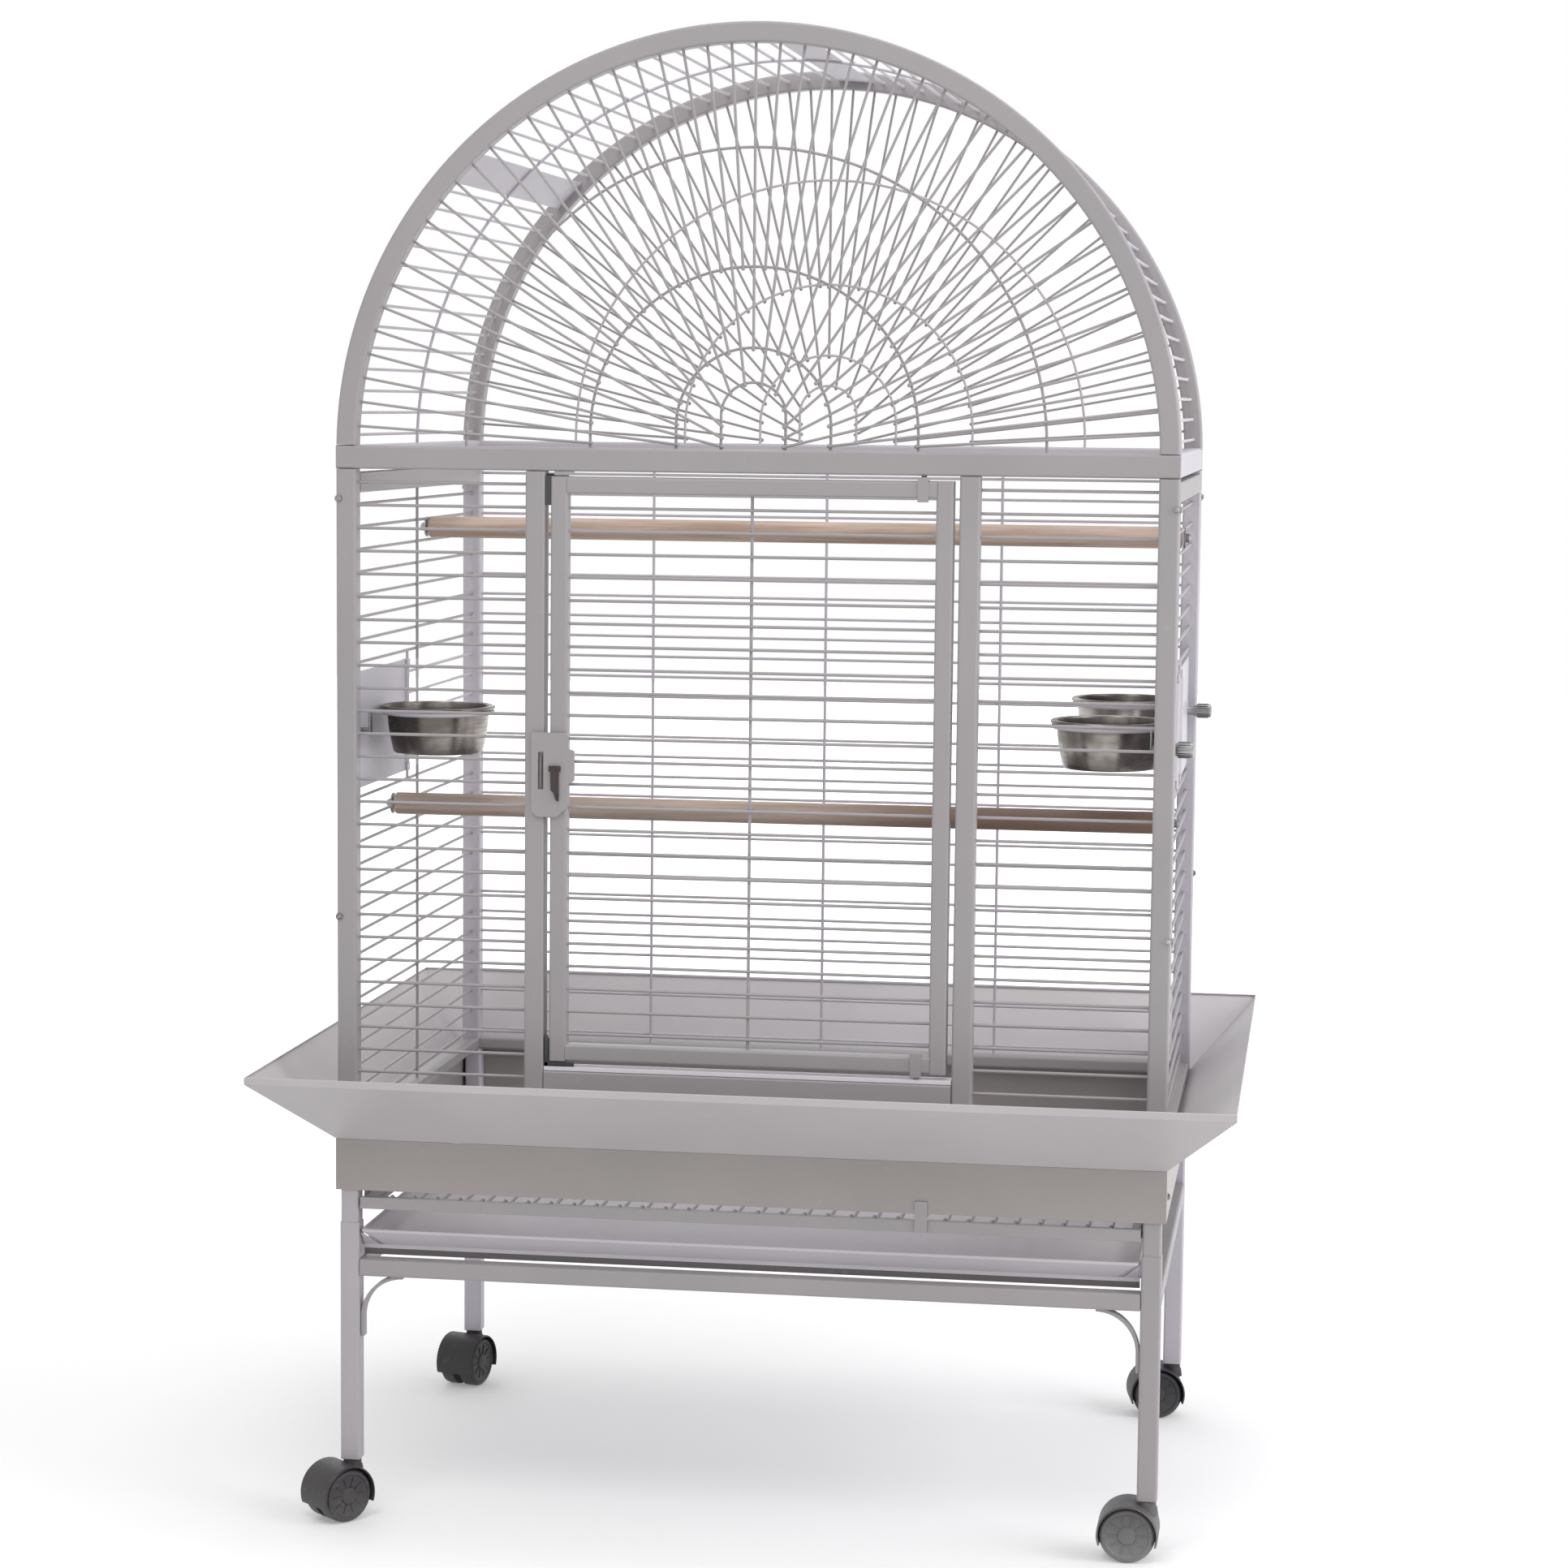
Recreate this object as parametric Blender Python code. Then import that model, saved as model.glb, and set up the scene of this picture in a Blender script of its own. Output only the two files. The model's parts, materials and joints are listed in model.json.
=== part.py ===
# Parrot cage with an arched roof, seed guards, side feeders and a stand on casters.
# Metres, +Z up, front towards -Y. Origin: floor level under the middle of the cage.
import math

import bmesh
import bpy
from mathutils import Matrix, Vector

# Cage body
cage_width = 0.914
cage_depth = 0.610
cage_base_height = 0.430
frame_tube = 0.022
tube_corner = 0.0015
round_steps = 16
pin_sides = 8
beam_height = 0.0255
beam_top_height = 1.195
arch_centre_drop = 0.0055
base_rail_height = 0.0145
seat_gap = 0.0003
weld_depth = 0.001

# Wires
wire_size = 0.0034
bar_pitch = 0.025
bar_margin = 0.006
side_top_rail_height = 0.022
side_top_rail_drop = 0.0045
back_upright_spacing = 0.216

# Front opening and door
jamb_outer = 0.2465
door_side_clearance = 0.006
sill_height = 0.025
sill_rise = 0.060
door_tube = 0.019
door_rail_height = 0.0185
door_bottom_clearance = 0.011
door_top_clearance = 0.0055
hinge_inset = 0.033
hinge_pin_size = 0.006
hinge_pin_reach = 0.012
pivot_clearance = 0.0003
stop_plate_reach = 0.030
stop_plate_thickness = 0.0015

# Door latch
latch_height = 0.838
latch_plate_height = 0.086
latch_plate_lap = 0.0135
latch_plate_overhang = 0.009
latch_plate_thickness = 0.004
latch_corner = 0.012
latch_shoulder = 0.018
keeper_thickness = 0.002
keeper_height = 0.034
keeper_inset = 0.003
keeper_clearance = 0.002
lever_pivot_lift = 0.010
lever_inset = 0.00665
lever_thickness = 0.0034
lever_head_width = 0.013
lever_head_height = 0.006
lever_stem_width = 0.009
lever_length = 0.034
lever_pin_size = 0.006

# Dome ends: spokes and rings
spoke_gaps = 52
ring_radii = (0.035, 0.084, 0.178, 0.315)
ring_rises = (0.042, 0.030, 0.022, 0.011)
ring_chord = 0.030
arch_steps = 32

# Roof
roof_strap_width = 0.042
roof_strap_thickness = 0.0015
roof_strap_angles = (136.5, 86.0, 43.5)
hoop_lap = 0.001

# Seed guards and aprons
guard_reach_side = 0.077
guard_reach_front = 0.098
guard_rise = 0.083
guard_lip = 0.008
sheet_thickness = 0.0012
apron_height = 0.057
seam_gap = 0.0003

# Stand
leg_side_inset = 0.0025
leg_joint_height = 0.337
leg_joint_step = 0.00075
leg_foot_height = 0.066
stand_rail_drop = 0.1355
stand_rail_height = 0.019
brace_radius = 0.048
brace_tail = 0.022
brace_thickness = 0.004
brace_width = 0.012
brace_steps = 8
runner_width = 0.0325
runner_rise = 0.0142
runner_sheet = 0.0015
runner_tab_length = 0.018

# Grate and tray
grate_drop = 0.078
grate_strip_height = 0.013
grate_strip_thickness = 0.003
grate_side_bar = 0.006
grate_side_drop = 0.002
grate_shelf_width = 0.014
grate_side_clearance = 0.001
grate_wire_lift = 0.0045
grate_cross_spacing = 0.19
pull_tab_x = 0.194
pull_tab_width = 0.014
pull_tab_height = 0.035
tray_rim_height = 0.020
tray_slope = 0.016
tray_side_clearance = 0.0015
tray_rear_clearance = 0.030
tray_sheet = 0.0012

# Perches
perch_size = 0.025
upper_perch_height = 1.095
upper_perch_y = 0.065
lower_perch_height = 0.782
lower_perch_y = -0.095

# Feeders
feeder_hinge_y = 0.045
feeder_plate_length = 0.230
feeder_plate_bottom = 0.815
feeder_plate_height = 0.130
feeder_plate_thickness = 0.0015
feeder_barrel_size = 0.009
feeder_pin_size = 0.004
feeder_pin_reach = 0.008
feeder_jamb_offset = 0.0075
feeder_lug_height = 0.009
feeder_lug_half = 0.0035
cup_centre_y = 0.160
cup_wall_clearance = 0.0022
cup_rim_radius = 0.0645
cup_wall_radius = 0.0575
cup_base_radius = 0.040
cup_height = 0.053
cup_rim_height = 0.0045
cup_sheet = 0.0014
cup_top_height = 0.902
holder_wire = 0.005
holder_clearance = 0.0015
holder_arm_offset = 0.030
latch_shaft_size = 0.008
latch_shaft_inset = 0.013
latch_shaft_height = 0.880
latch_tongue_length = 0.024
latch_tongue_width = 0.010
latch_tongue_thickness = 0.002
latch_tongue_clearance = 0.004
knob_radius = 0.009
knob_reach = 0.029
knob_neck = 0.0015
knob_waist = 0.00725

# Casters
wheel_radius = 0.0305
wheel_outer_half = 0.024
wheel_gap_half = 0.0046
wheel_chamfer = 0.005
axle_size = 0.006
hood_clearance = 0.001
hood_thickness = 0.002
hood_width = 0.052
hood_web_half = 0.0042
hood_dip_angle = 20
hood_steps = 12
caster_trail = 0.020
caster_neck_radius = 0.010
caster_turns = {
    "front_left": 50,
    "front_right": 0,
    "back_left": 75,
    "back_right": 10,
}

# Places that follow from the sizes
half_width = cage_width / 2
half_depth = cage_depth / 2
inner_width = half_width - frame_tube
inner_depth = half_depth - frame_tube
front_plane = half_depth - frame_tube / 2
side_plane = half_width - frame_tube / 2
beam_bottom = beam_top_height - beam_height
arch_centre = beam_top_height - arch_centre_drop
base_rail_top = cage_base_height + base_rail_height
first_bar = cage_base_height + bar_pitch
jamb_inner = jamb_outer - frame_tube
sill_bottom_height = cage_base_height + sill_rise
sill_top = sill_bottom_height + sill_height
door_half = jamb_inner - door_side_clearance
door_bottom = sill_top + door_bottom_clearance
door_top = beam_bottom - door_top_clearance
door_plane = half_depth - door_tube / 2
hinge_x = door_half - hinge_inset
feeder_plate_top = feeder_plate_bottom + feeder_plate_height
leg_outer = half_width - leg_side_inset
leg_inner = leg_outer - frame_tube
leg_x = leg_outer - frame_tube / 2
stand_rail_top = cage_base_height - stand_rail_drop
stand_rail_bottom = stand_rail_top - stand_rail_height
grate_bottom_height = cage_base_height - grate_drop
tray_shelf_top = stand_rail_top + runner_rise
tray_bottom = tray_shelf_top + seat_gap
cup_centre_x = side_plane - feeder_plate_thickness / 2 - cup_wall_clearance - cup_rim_radius
wheel_height = wheel_radius


def clear_scene():
    for old in list(bpy.data.objects):
        bpy.data.objects.remove(old, do_unlink=True)


def finish_material(name, colour, roughness, metallic):
    material = bpy.data.materials.new(name)
    material.use_nodes = True
    shader = material.node_tree.nodes["Principled BSDF"]
    shader.inputs["Base Color"].default_value = (*colour, 1)
    shader.inputs["Roughness"].default_value = roughness
    shader.inputs["Metallic"].default_value = metallic
    return material


# Modelling helpers

def block(solid, low, high):
    middle = (Vector(low) + Vector(high)) / 2
    size = Vector(high) - Vector(low)
    place = Matrix.Translation(middle) @ Matrix.Diagonal((*size, 1))
    return bmesh.ops.create_cube(solid, size=1, matrix=place)["verts"]


def span(centre, half):
    return centre - half, centre + half


def tube(solid, x, y, z, along):
    # A square tube with its long corners eased; along is the index of its length.
    verts = block(solid, (x[0], y[0], z[0]), (x[1], y[1], z[1]))
    edges = {edge for vert in verts for edge in vert.link_edges}
    long_edges = [edge for edge in edges
                  if abs(edge.verts[0].co[along] - edge.verts[1].co[along]) > seat_gap]
    bmesh.ops.bevel(solid, geom=long_edges, offset=tube_corner, segments=1, affect="EDGES")


def rod(solid, start, end, diameter, sides=4):
    start = Vector(start)
    run = Vector(end) - start
    turn = run.to_track_quat("Z", "Y").to_matrix().to_4x4()
    place = Matrix.Translation(start + run / 2) @ turn
    bmesh.ops.create_cone(solid, cap_ends=True, segments=sides, radius1=diameter / 2,
                          radius2=diameter / 2, depth=run.length, matrix=place)


def extruded(solid, outline, travel):
    face = solid.faces.new([solid.verts.new(point) for point in outline])
    grown = bmesh.ops.extrude_face_region(solid, geom=[face])["geom"]
    moved = [item for item in grown if isinstance(item, bmesh.types.BMVert)]
    bmesh.ops.translate(solid, verts=moved, vec=travel)


def loft(solid, loops):
    rings = [[solid.verts.new(point) for point in loop] for loop in loops]
    for near, far in zip(rings, rings[1:]):
        for index in range(len(near)):
            following = (index + 1) % len(near)
            solid.faces.new((near[index], near[following], far[following], far[index]))
    solid.faces.new(rings[0])
    solid.faces.new(rings[-1])


def turned(solid, profile, centre, axis, side, steps, closed=True):
    # Spins (radius, distance along the axis) points; an open profile ends on the axis.
    axis = Vector(axis)
    side = Vector(side)
    centre = Vector(centre)
    points = [solid.verts.new(centre + side * radius + axis * along) for radius, along in profile]
    pairs = list(zip(points, points[1:]))
    if closed:
        pairs.append((points[-1], points[0]))
    edges = [solid.edges.new(pair) for pair in pairs]
    bmesh.ops.spin(solid, geom=points + edges, cent=centre, axis=axis, angle=math.tau,
                   steps=steps, use_merge=True, use_duplicate=False)
    bmesh.ops.remove_doubles(solid, verts=solid.verts, dist=1e-6)


def bent_wire(paths, diameter):
    # One mesh of four-sided wires, each along its own path.
    curve = bpy.data.curves.new("wire", "CURVE")
    curve.dimensions = "3D"
    curve.bevel_depth = diameter / 2
    curve.bevel_resolution = 0
    curve.use_fill_caps = True
    for path in paths:
        spline = curve.splines.new("POLY")
        spline.points.add(len(path) - 1)
        for point, place in zip(spline.points, path):
            point.co = (*place, 1)
    guide = bpy.data.objects.new("wire", curve)
    solid = bmesh.new()
    solid.from_mesh(bpy.data.meshes.new_from_object(guide))
    bmesh.ops.remove_doubles(solid, verts=solid.verts, dist=1e-6)
    bpy.data.objects.remove(guide)
    return solid


def helper_object(solid):
    bmesh.ops.recalc_face_normals(solid, faces=solid.faces)
    mesh = bpy.data.meshes.new("helper")
    solid.to_mesh(mesh)
    solid.free()
    helper = bpy.data.objects.new("helper", mesh)
    bpy.context.scene.collection.objects.link(helper)
    return helper


def combine(first, others, operation):
    base = helper_object(first)
    tools = [helper_object(other) for other in others]
    for tool in tools:
        join = base.modifiers.new("Combine", "BOOLEAN")
        join.operation = operation
        join.solver = "EXACT"
        join.object = tool
    bpy.context.view_layer.update()
    evaluated = base.evaluated_get(bpy.context.evaluated_depsgraph_get())
    result = bmesh.new()
    result.from_mesh(evaluated.to_mesh())
    evaluated.to_mesh_clear()
    for helper in [base, *tools]:
        bpy.data.objects.remove(helper, do_unlink=True)
    bmesh.ops.remove_doubles(result, verts=result.verts, dist=1e-6)
    return result


def fuse(first, *others):
    return combine(first, others, "UNION")


def cut(first, *others):
    return combine(first, others, "DIFFERENCE")


def place_part(name, solid, material, pivot=(0, 0, 0)):
    bmesh.ops.recalc_face_normals(solid, faces=solid.faces)
    mesh = bpy.data.meshes.new(name)
    solid.to_mesh(mesh)
    solid.free()
    mesh.transform(Matrix.Translation(-Vector(pivot)))
    mesh.materials.clear()
    mesh.materials.append(material)
    mesh.shade_smooth()
    mesh.set_sharp_from_angle(angle=math.radians(35))
    part = bpy.data.objects.new(name, mesh)
    part.location = pivot
    bpy.context.scene.collection.objects.link(part)
    return part


def bar_heights(low, high):
    # Heights of the bars between two members, on the grid that all panels share.
    count = math.floor((beam_bottom - first_bar) / bar_pitch)
    grid = [first_bar + bar_pitch * step for step in range(count + 1)]
    return [height for height in grid if low + bar_margin < height < high - bar_margin]


def arc_point(radius, angle, y, centre=arch_centre):
    return Vector((radius * math.cos(angle), y, centre + radius * math.sin(angle)))


# Stand

def build_leg(corner, side, end):
    solid = bmesh.new()
    tube(solid, span(side * leg_x, frame_tube / 2), span(end * front_plane, frame_tube / 2),
         (leg_foot_height + seat_gap, leg_joint_height), 2)
    solid.faces.ensure_lookup_table()
    crown = max(solid.faces, key=lambda face: face.calc_center_median().z)
    bmesh.ops.inset_region(solid, faces=[crown], thickness=leg_joint_step)
    grown = bmesh.ops.extrude_face_region(solid, geom=[crown])["geom"]
    moved = [item for item in grown if isinstance(item, bmesh.types.BMVert)]
    bmesh.ops.delete(solid, geom=[crown], context="FACES_ONLY")
    bmesh.ops.translate(solid, verts=moved, vec=(0, 0, cage_base_height - leg_joint_height))
    place_part("stand_leg_" + corner, solid, grey_paint)


def brace_outline(side, y):
    # A quarter-round flat brace that runs on down the leg for a short way.
    centre_x = leg_inner - seat_gap - brace_radius
    centre_z = stand_rail_bottom + weld_depth - brace_radius
    angles = [math.pi / 2 * step / brace_steps for step in range(brace_steps + 1)]
    inner_radius = brace_radius - brace_thickness
    outer = [(centre_x + brace_radius * math.cos(a), centre_z + brace_radius * math.sin(a))
             for a in angles]
    inner = [(centre_x + inner_radius * math.cos(a), centre_z + inner_radius * math.sin(a))
             for a in reversed(angles)]
    outer.insert(0, (outer[0][0], centre_z - brace_tail))
    inner.append((inner[-1][0], centre_z - brace_tail))
    return [(side * x, y, z) for x, z in outer + inner]


def build_end_rail(name, end):
    rail = bmesh.new()
    reach = leg_inner - seat_gap
    tube(rail, (-reach, reach), span(end * front_plane, frame_tube / 2),
         (stand_rail_bottom, stand_rail_top), 0)
    braces = bmesh.new()
    for side in (-1, 1):
        outline = brace_outline(side, end * front_plane - brace_width / 2)
        extruded(braces, outline, (0, brace_width, 0))
    place_part("stand_rail_" + name, fuse(rail, braces), grey_paint)


def build_side_rail(name, side):
    reach = inner_depth - seat_gap
    rail = bmesh.new()
    tube(rail, span(side * leg_x, frame_tube / 2), (-reach, reach),
         (stand_rail_bottom, stand_rail_top), 1)
    tabs = bmesh.new()
    tab_outer = leg_inner + runner_sheet + tube_corner
    for end in (-1, 1):
        near = sorted((end * reach, end * (reach - runner_tab_length)))
        xs = sorted((side * (leg_inner + tube_corner), side * tab_outer))
        block(tabs, (xs[0], near[0], stand_rail_top - weld_depth),
              (xs[1], near[1], tray_shelf_top - runner_sheet / 2))
    shelf = bmesh.new()
    xs = sorted((side * (tab_outer - runner_width), side * tab_outer))
    block(shelf, (xs[0], -reach, tray_shelf_top - runner_sheet), (xs[1], reach, tray_shelf_top))
    place_part("stand_rail_" + name, fuse(rail, tabs, shelf), grey_paint)


def build_end_apron(name, end):
    ys = sorted((end * (half_depth + seat_gap), end * (half_depth + seat_gap + sheet_thickness)))
    reach = half_width + seat_gap + sheet_thickness
    solid = bmesh.new()
    block(solid, (-reach, ys[0], cage_base_height - apron_height), (reach, ys[1], cage_base_height))
    place_part("apron_" + name, solid, warm_paint)


def build_side_apron(name, side):
    # The lower edge folds in between the legs and carries the grate on a shelf.
    face = bmesh.new()
    inner = half_width + seat_gap
    low = cage_base_height - apron_height
    xs = sorted((side * inner, side * (inner + sheet_thickness)))
    block(face, (xs[0], -half_depth, low), (xs[1], half_depth, cage_base_height))
    web = leg_inner
    shelf_top = grate_bottom_height - seat_gap
    sheet = sheet_thickness
    section = [(inner + sheet / 2, low), (inner + sheet / 2, low + sheet), (web - sheet, low + sheet),
               (web - sheet, shelf_top), (web - grate_shelf_width, shelf_top),
               (web - grate_shelf_width, shelf_top - sheet), (web, shelf_top - sheet), (web, low)]
    runner = bmesh.new()
    reach = inner_depth - seat_gap
    extruded(runner, [(side * x, -reach, z) for x, z in section], (0, 2 * reach, 0))
    place_part("apron_" + name, fuse(face, runner), warm_paint)


def guard_section():
    # Points of the sheet as (distance out from the cage as a share of the reach, height).
    low = cage_base_height + seat_gap
    high = low + guard_rise
    sheet = sheet_thickness
    lip = sheet / guard_reach_front
    return [(0, low), (lip, low), (1 - lip, high - sheet * 2), (1 - lip, high - guard_lip),
            (1, high - guard_lip), (1, high), (1 - lip, high), (0, low + sheet * 2)]


def build_guard(name, across, side):
    # across is 0 for the left and right guards and 1 for the front and back ones.
    loops = []
    for end in (-1, 1):
        loop = []
        for share, height in guard_section():
            x = half_width + seat_gap + share * guard_reach_side
            y = half_depth + seat_gap + share * guard_reach_front
            if across == 0:
                loop.append((side * x, end * (y - seam_gap), height))
            else:
                loop.append((end * (x - seam_gap), side * y, height))
        loops.append(loop)
    solid = bmesh.new()
    loft(solid, loops)
    place_part("seed_guard_" + name, solid, guard_paint)


# Cage walls

def front_bars(solid, x_low, x_high, y, low, high):
    for height in bar_heights(low, high):
        rod(solid, (x_low, y, height), (x_high, y, height), wire_size)


def build_front_panel(name, side):
    y = (-half_depth, -inner_depth)
    z = (cage_base_height + seat_gap, beam_bottom - seat_gap)
    uprights = bmesh.new()
    tube(uprights, sorted((side * inner_width, side * half_width)), y, z, 2)
    tube(uprights, sorted((side * jamb_inner, side * jamb_outer)), y, z, 2)
    bars = bmesh.new()
    ends = sorted((side * (inner_width + weld_depth), side * (jamb_outer - weld_depth)))
    front_bars(bars, *ends, -front_plane, base_rail_top, beam_bottom)
    tube(bars, ends, y, (z[0], base_rail_top), 0)
    fittings = []
    if side < 0:
        fittings.append(left_jamb_fittings())
    place_part(name, fuse(uprights, bars, *fittings), grey_paint)


def left_jamb_fittings():
    # The latch keeper on the jamb's face and the two plates that the door closes against.
    solid = bmesh.new()
    keeper_x = -(jamb_inner + keeper_inset)
    block(solid, (keeper_x - keeper_thickness / 2, -half_depth - latch_plate_thickness,
                  latch_height - keeper_height / 2),
          (keeper_x + keeper_thickness / 2, -half_depth + weld_depth,
           latch_height + keeper_height / 2))
    stop_y = -half_depth + door_tube + seat_gap
    for low, high in ((door_bottom - door_bottom_clearance / 2, door_bottom + stop_plate_reach),
                      (door_top - stop_plate_reach, door_top + door_top_clearance / 2)):
        block(solid, (-jamb_inner - weld_depth, stop_y, low),
              (-jamb_inner + stop_plate_reach, stop_y + stop_plate_thickness, high))
    return solid


def build_sill():
    reach = jamb_inner - seat_gap
    y = (-half_depth, -inner_depth)
    members = bmesh.new()
    tube(members, (-reach, reach), y, (sill_bottom_height, sill_top), 0)
    tube(members, (-reach, reach), y, (cage_base_height + seat_gap, base_rail_top), 0)
    bars = bmesh.new()
    front_bars(bars, -reach + wire_size / 2, reach - wire_size / 2, -front_plane,
               base_rail_top, sill_bottom_height)
    uprights = bmesh.new()
    for x in (-reach + wire_size / 2, 0, reach - wire_size / 2):
        rod(uprights, (x, -front_plane, base_rail_top - weld_depth),
            (x, -front_plane, sill_bottom_height + weld_depth), wire_size)
    rod(uprights, (hinge_x, -door_plane, sill_top - weld_depth),
        (hinge_x, -door_plane, door_bottom + hinge_pin_reach), hinge_pin_size, pin_sides)
    place_part("door_sill", fuse(members, bars, uprights), grey_paint)


def build_back_panel():
    # The right post is a node of its own, which leaves the feeder latch room to turn behind it.
    y = (inner_depth, half_depth)
    z = (cage_base_height + seat_gap, beam_bottom - seat_gap)
    posts = {side: bmesh.new() for side in (-1, 1)}
    for side, post in posts.items():
        tube(post, sorted((side * inner_width, side * half_width)), y, z, 2)
    bars = bmesh.new()
    ends = (-inner_width - weld_depth, inner_width - seat_gap)
    front_bars(bars, *ends, front_plane, base_rail_top, beam_bottom)
    tube(bars, ends, y, (z[0], base_rail_top), 0)
    uprights = bmesh.new()
    upright_y = front_plane - wire_size - seat_gap
    for step in (-1, 0, 1):
        x = step * back_upright_spacing
        rod(uprights, (x, upright_y, base_rail_top - weld_depth), (x, upright_y, z[1]), wire_size)
    place_part("back_panel", fuse(posts[-1], bars, uprights), lavender_paint)
    place_part("back_post_right", posts[1], lavender_paint)


def side_bar(solid, side, y_low, y_high, height):
    rod(solid, (side * side_plane, y_low, height), (side * side_plane, y_high, height), wire_size)


def middle_upright(side, low, high):
    solid = bmesh.new()
    x = side * (side_plane - wire_size + hoop_lap)
    rod(solid, (x, 0, low), (x, 0, high), wire_size)
    return solid


def feeder_levels():
    # Heights at which the three stretches of a side wall meet.
    all_bars = bar_heights(base_rail_top, beam_bottom)
    below = [height for height in all_bars if height < feeder_plate_bottom - wire_size / 2]
    above = [height for height in all_bars if height > feeder_plate_top + wire_size / 2]
    return below[-1], above[0]


def build_side_walls(name, side, feeder_ends):
    reach = inner_depth - seat_gap
    below, above = feeder_levels()
    lower_split = below + bar_pitch / 2
    upper_split = above - bar_pitch / 2
    x = sorted((side * inner_width, side * half_width))
    top_rail_top = beam_bottom - side_top_rail_drop
    top_rail_bottom = top_rail_top - side_top_rail_height

    lower = bmesh.new()
    tube(lower, x, (-reach, reach), (cage_base_height + seat_gap, base_rail_top), 1)
    for height in bar_heights(base_rail_top, lower_split + bar_margin):
        side_bar(lower, side, -reach, reach, height)
    upright = middle_upright(side, base_rail_top - weld_depth, lower_split - seat_gap)
    place_part("side_wall_" + name + "_lower", fuse(lower, upright), lavender_paint)

    upper = bmesh.new()
    tube(upper, x, (-reach, reach), (top_rail_bottom, top_rail_top), 1)
    for height in bar_heights(upper_split - bar_margin, top_rail_bottom):
        side_bar(upper, side, -reach, reach, height)
    upright = middle_upright(side, upper_split + seat_gap, top_rail_bottom + weld_depth)
    place_part("side_wall_" + name + "_upper", fuse(upper, upright), lavender_paint)

    jamb_y = feeder_hinge_y - feeder_jamb_offset
    ends = {end: end * reach for end in (-1, 1)}
    jambs = bmesh.new()
    for end in feeder_ends:
        ends[end] = end * (jamb_y + weld_depth / 2)
        rod(jambs, (side * side_plane, end * jamb_y, below + wire_size / 2 + seat_gap),
            (side * side_plane, end * jamb_y, above - wire_size / 2 - seat_gap), wire_size)
    middle = bmesh.new()
    for height in bar_heights(lower_split - bar_margin, upper_split + bar_margin):
        side_bar(middle, side, ends[-1], ends[1], height)
    upright = middle_upright(side, lower_split, upper_split)
    lugs = bmesh.new()
    for end in feeder_ends:
        feeder_lugs(lugs, side, end)
    place_part("side_wall_" + name + "_middle", fuse(middle, upright, jambs, lugs), lavender_paint)


def feeder_lugs(solid, side, end):
    # Lugs above and below the feeder door's barrel, each with a pivot pin.
    x = side * side_plane
    half = feeder_lug_half
    start = feeder_hinge_y - feeder_jamb_offset - weld_depth
    ys = sorted((end * start, end * (feeder_hinge_y + half)))
    lower_face = feeder_plate_bottom + feeder_lug_height
    upper_face = feeder_plate_top - feeder_lug_height
    for low, high, pin_end in ((feeder_plate_bottom, lower_face, lower_face + feeder_pin_reach),
                               (upper_face, feeder_plate_top, upper_face - feeder_pin_reach)):
        lug = bmesh.new()
        block(lug, (x - half, ys[0], low), (x + half, ys[1], high))
        pin = bmesh.new()
        rod(pin, (x, end * feeder_hinge_y, (low + high) / 2), (x, end * feeder_hinge_y, pin_end),
            feeder_pin_size, pin_sides)
        joined = fuse(lug, pin)
        mesh = bpy.data.meshes.new("lug")
        joined.to_mesh(mesh)
        joined.free()
        solid.from_mesh(mesh)


# Dome

def ring_reach(angle, index):
    # Distance from the arch's centre to a ring, along a spoke at this angle.
    radius = ring_radii[index]
    rise = ring_rises[index]
    leg = radius / max(abs(math.cos(angle)), wire_size)
    if leg * math.sin(angle) < rise:
        return leg
    return rise * math.sin(angle) + math.sqrt(radius ** 2 - (rise * math.cos(angle)) ** 2)


def spoke_ring(count):
    if count % 2:
        return 2
    return 1 if count % 4 else 0


def build_arch(name, end):
    arch = bmesh.new()
    outer = half_width
    inner = inner_width
    start = math.asin((beam_top_height + seat_gap - arch_centre) / inner)
    y = (end * half_depth, end * inner_depth)
    loops = []
    for step in range(arch_steps + 1):
        angle = start + (math.pi - 2 * start) * step / arch_steps
        loops.append([arc_point(outer, angle, y[0]), arc_point(outer, angle, y[1]),
                      arc_point(inner, angle, y[1]), arc_point(inner, angle, y[0])])
    loft(arch, loops)
    spokes = bmesh.new()
    plane = end * front_plane
    for count in range(1, spoke_gaps):
        angle = math.pi * count / spoke_gaps
        near = ring_reach(angle, spoke_ring(count)) - wire_size / 2
        rod(spokes, arc_point(near, angle, plane),
            arc_point(inner + weld_depth + wire_size / 4, angle, plane), wire_size)
    place_part("dome_arch_" + name, fuse(arch, spokes), grey_paint if end < 0 else lavender_paint)


def ring_path(index, y):
    radius = ring_radii[index]
    centre = arch_centre + ring_rises[index]
    steps = max(8, round(math.pi * radius / ring_chord))
    arc = [arc_point(radius, math.pi * step / steps, y, centre) for step in range(steps + 1)]
    foot = beam_top_height - weld_depth
    return [Vector((radius, y, foot)), *arc, Vector((-radius, y, foot))]


def build_beam(name, end):
    beam = bmesh.new()
    tube(beam, (-half_width, half_width), sorted((end * half_depth, end * inner_depth)),
         (beam_bottom, beam_top_height), 0)
    ring_y = end * (front_plane - wire_size - seat_gap)
    rings = bent_wire([ring_path(index, ring_y) for index in range(len(ring_radii))], wire_size)
    pieces = [rings]
    if end < 0:
        pin = bmesh.new()
        rod(pin, (hinge_x, -door_plane, beam_bottom + weld_depth),
            (hinge_x, -door_plane, door_top - hinge_pin_reach), hinge_pin_size, pin_sides)
        pieces.append(pin)
    place_part("beam_" + name, fuse(beam, *pieces), grey_paint if end < 0 else lavender_paint)


# Roof

roof_wire_radius = side_plane
hoop_radius = roof_wire_radius - wire_size + hoop_lap
strap_half_angle = math.asin(roof_strap_width / 2 / hoop_radius)
wire_step_angle = bar_pitch / roof_wire_radius


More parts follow.
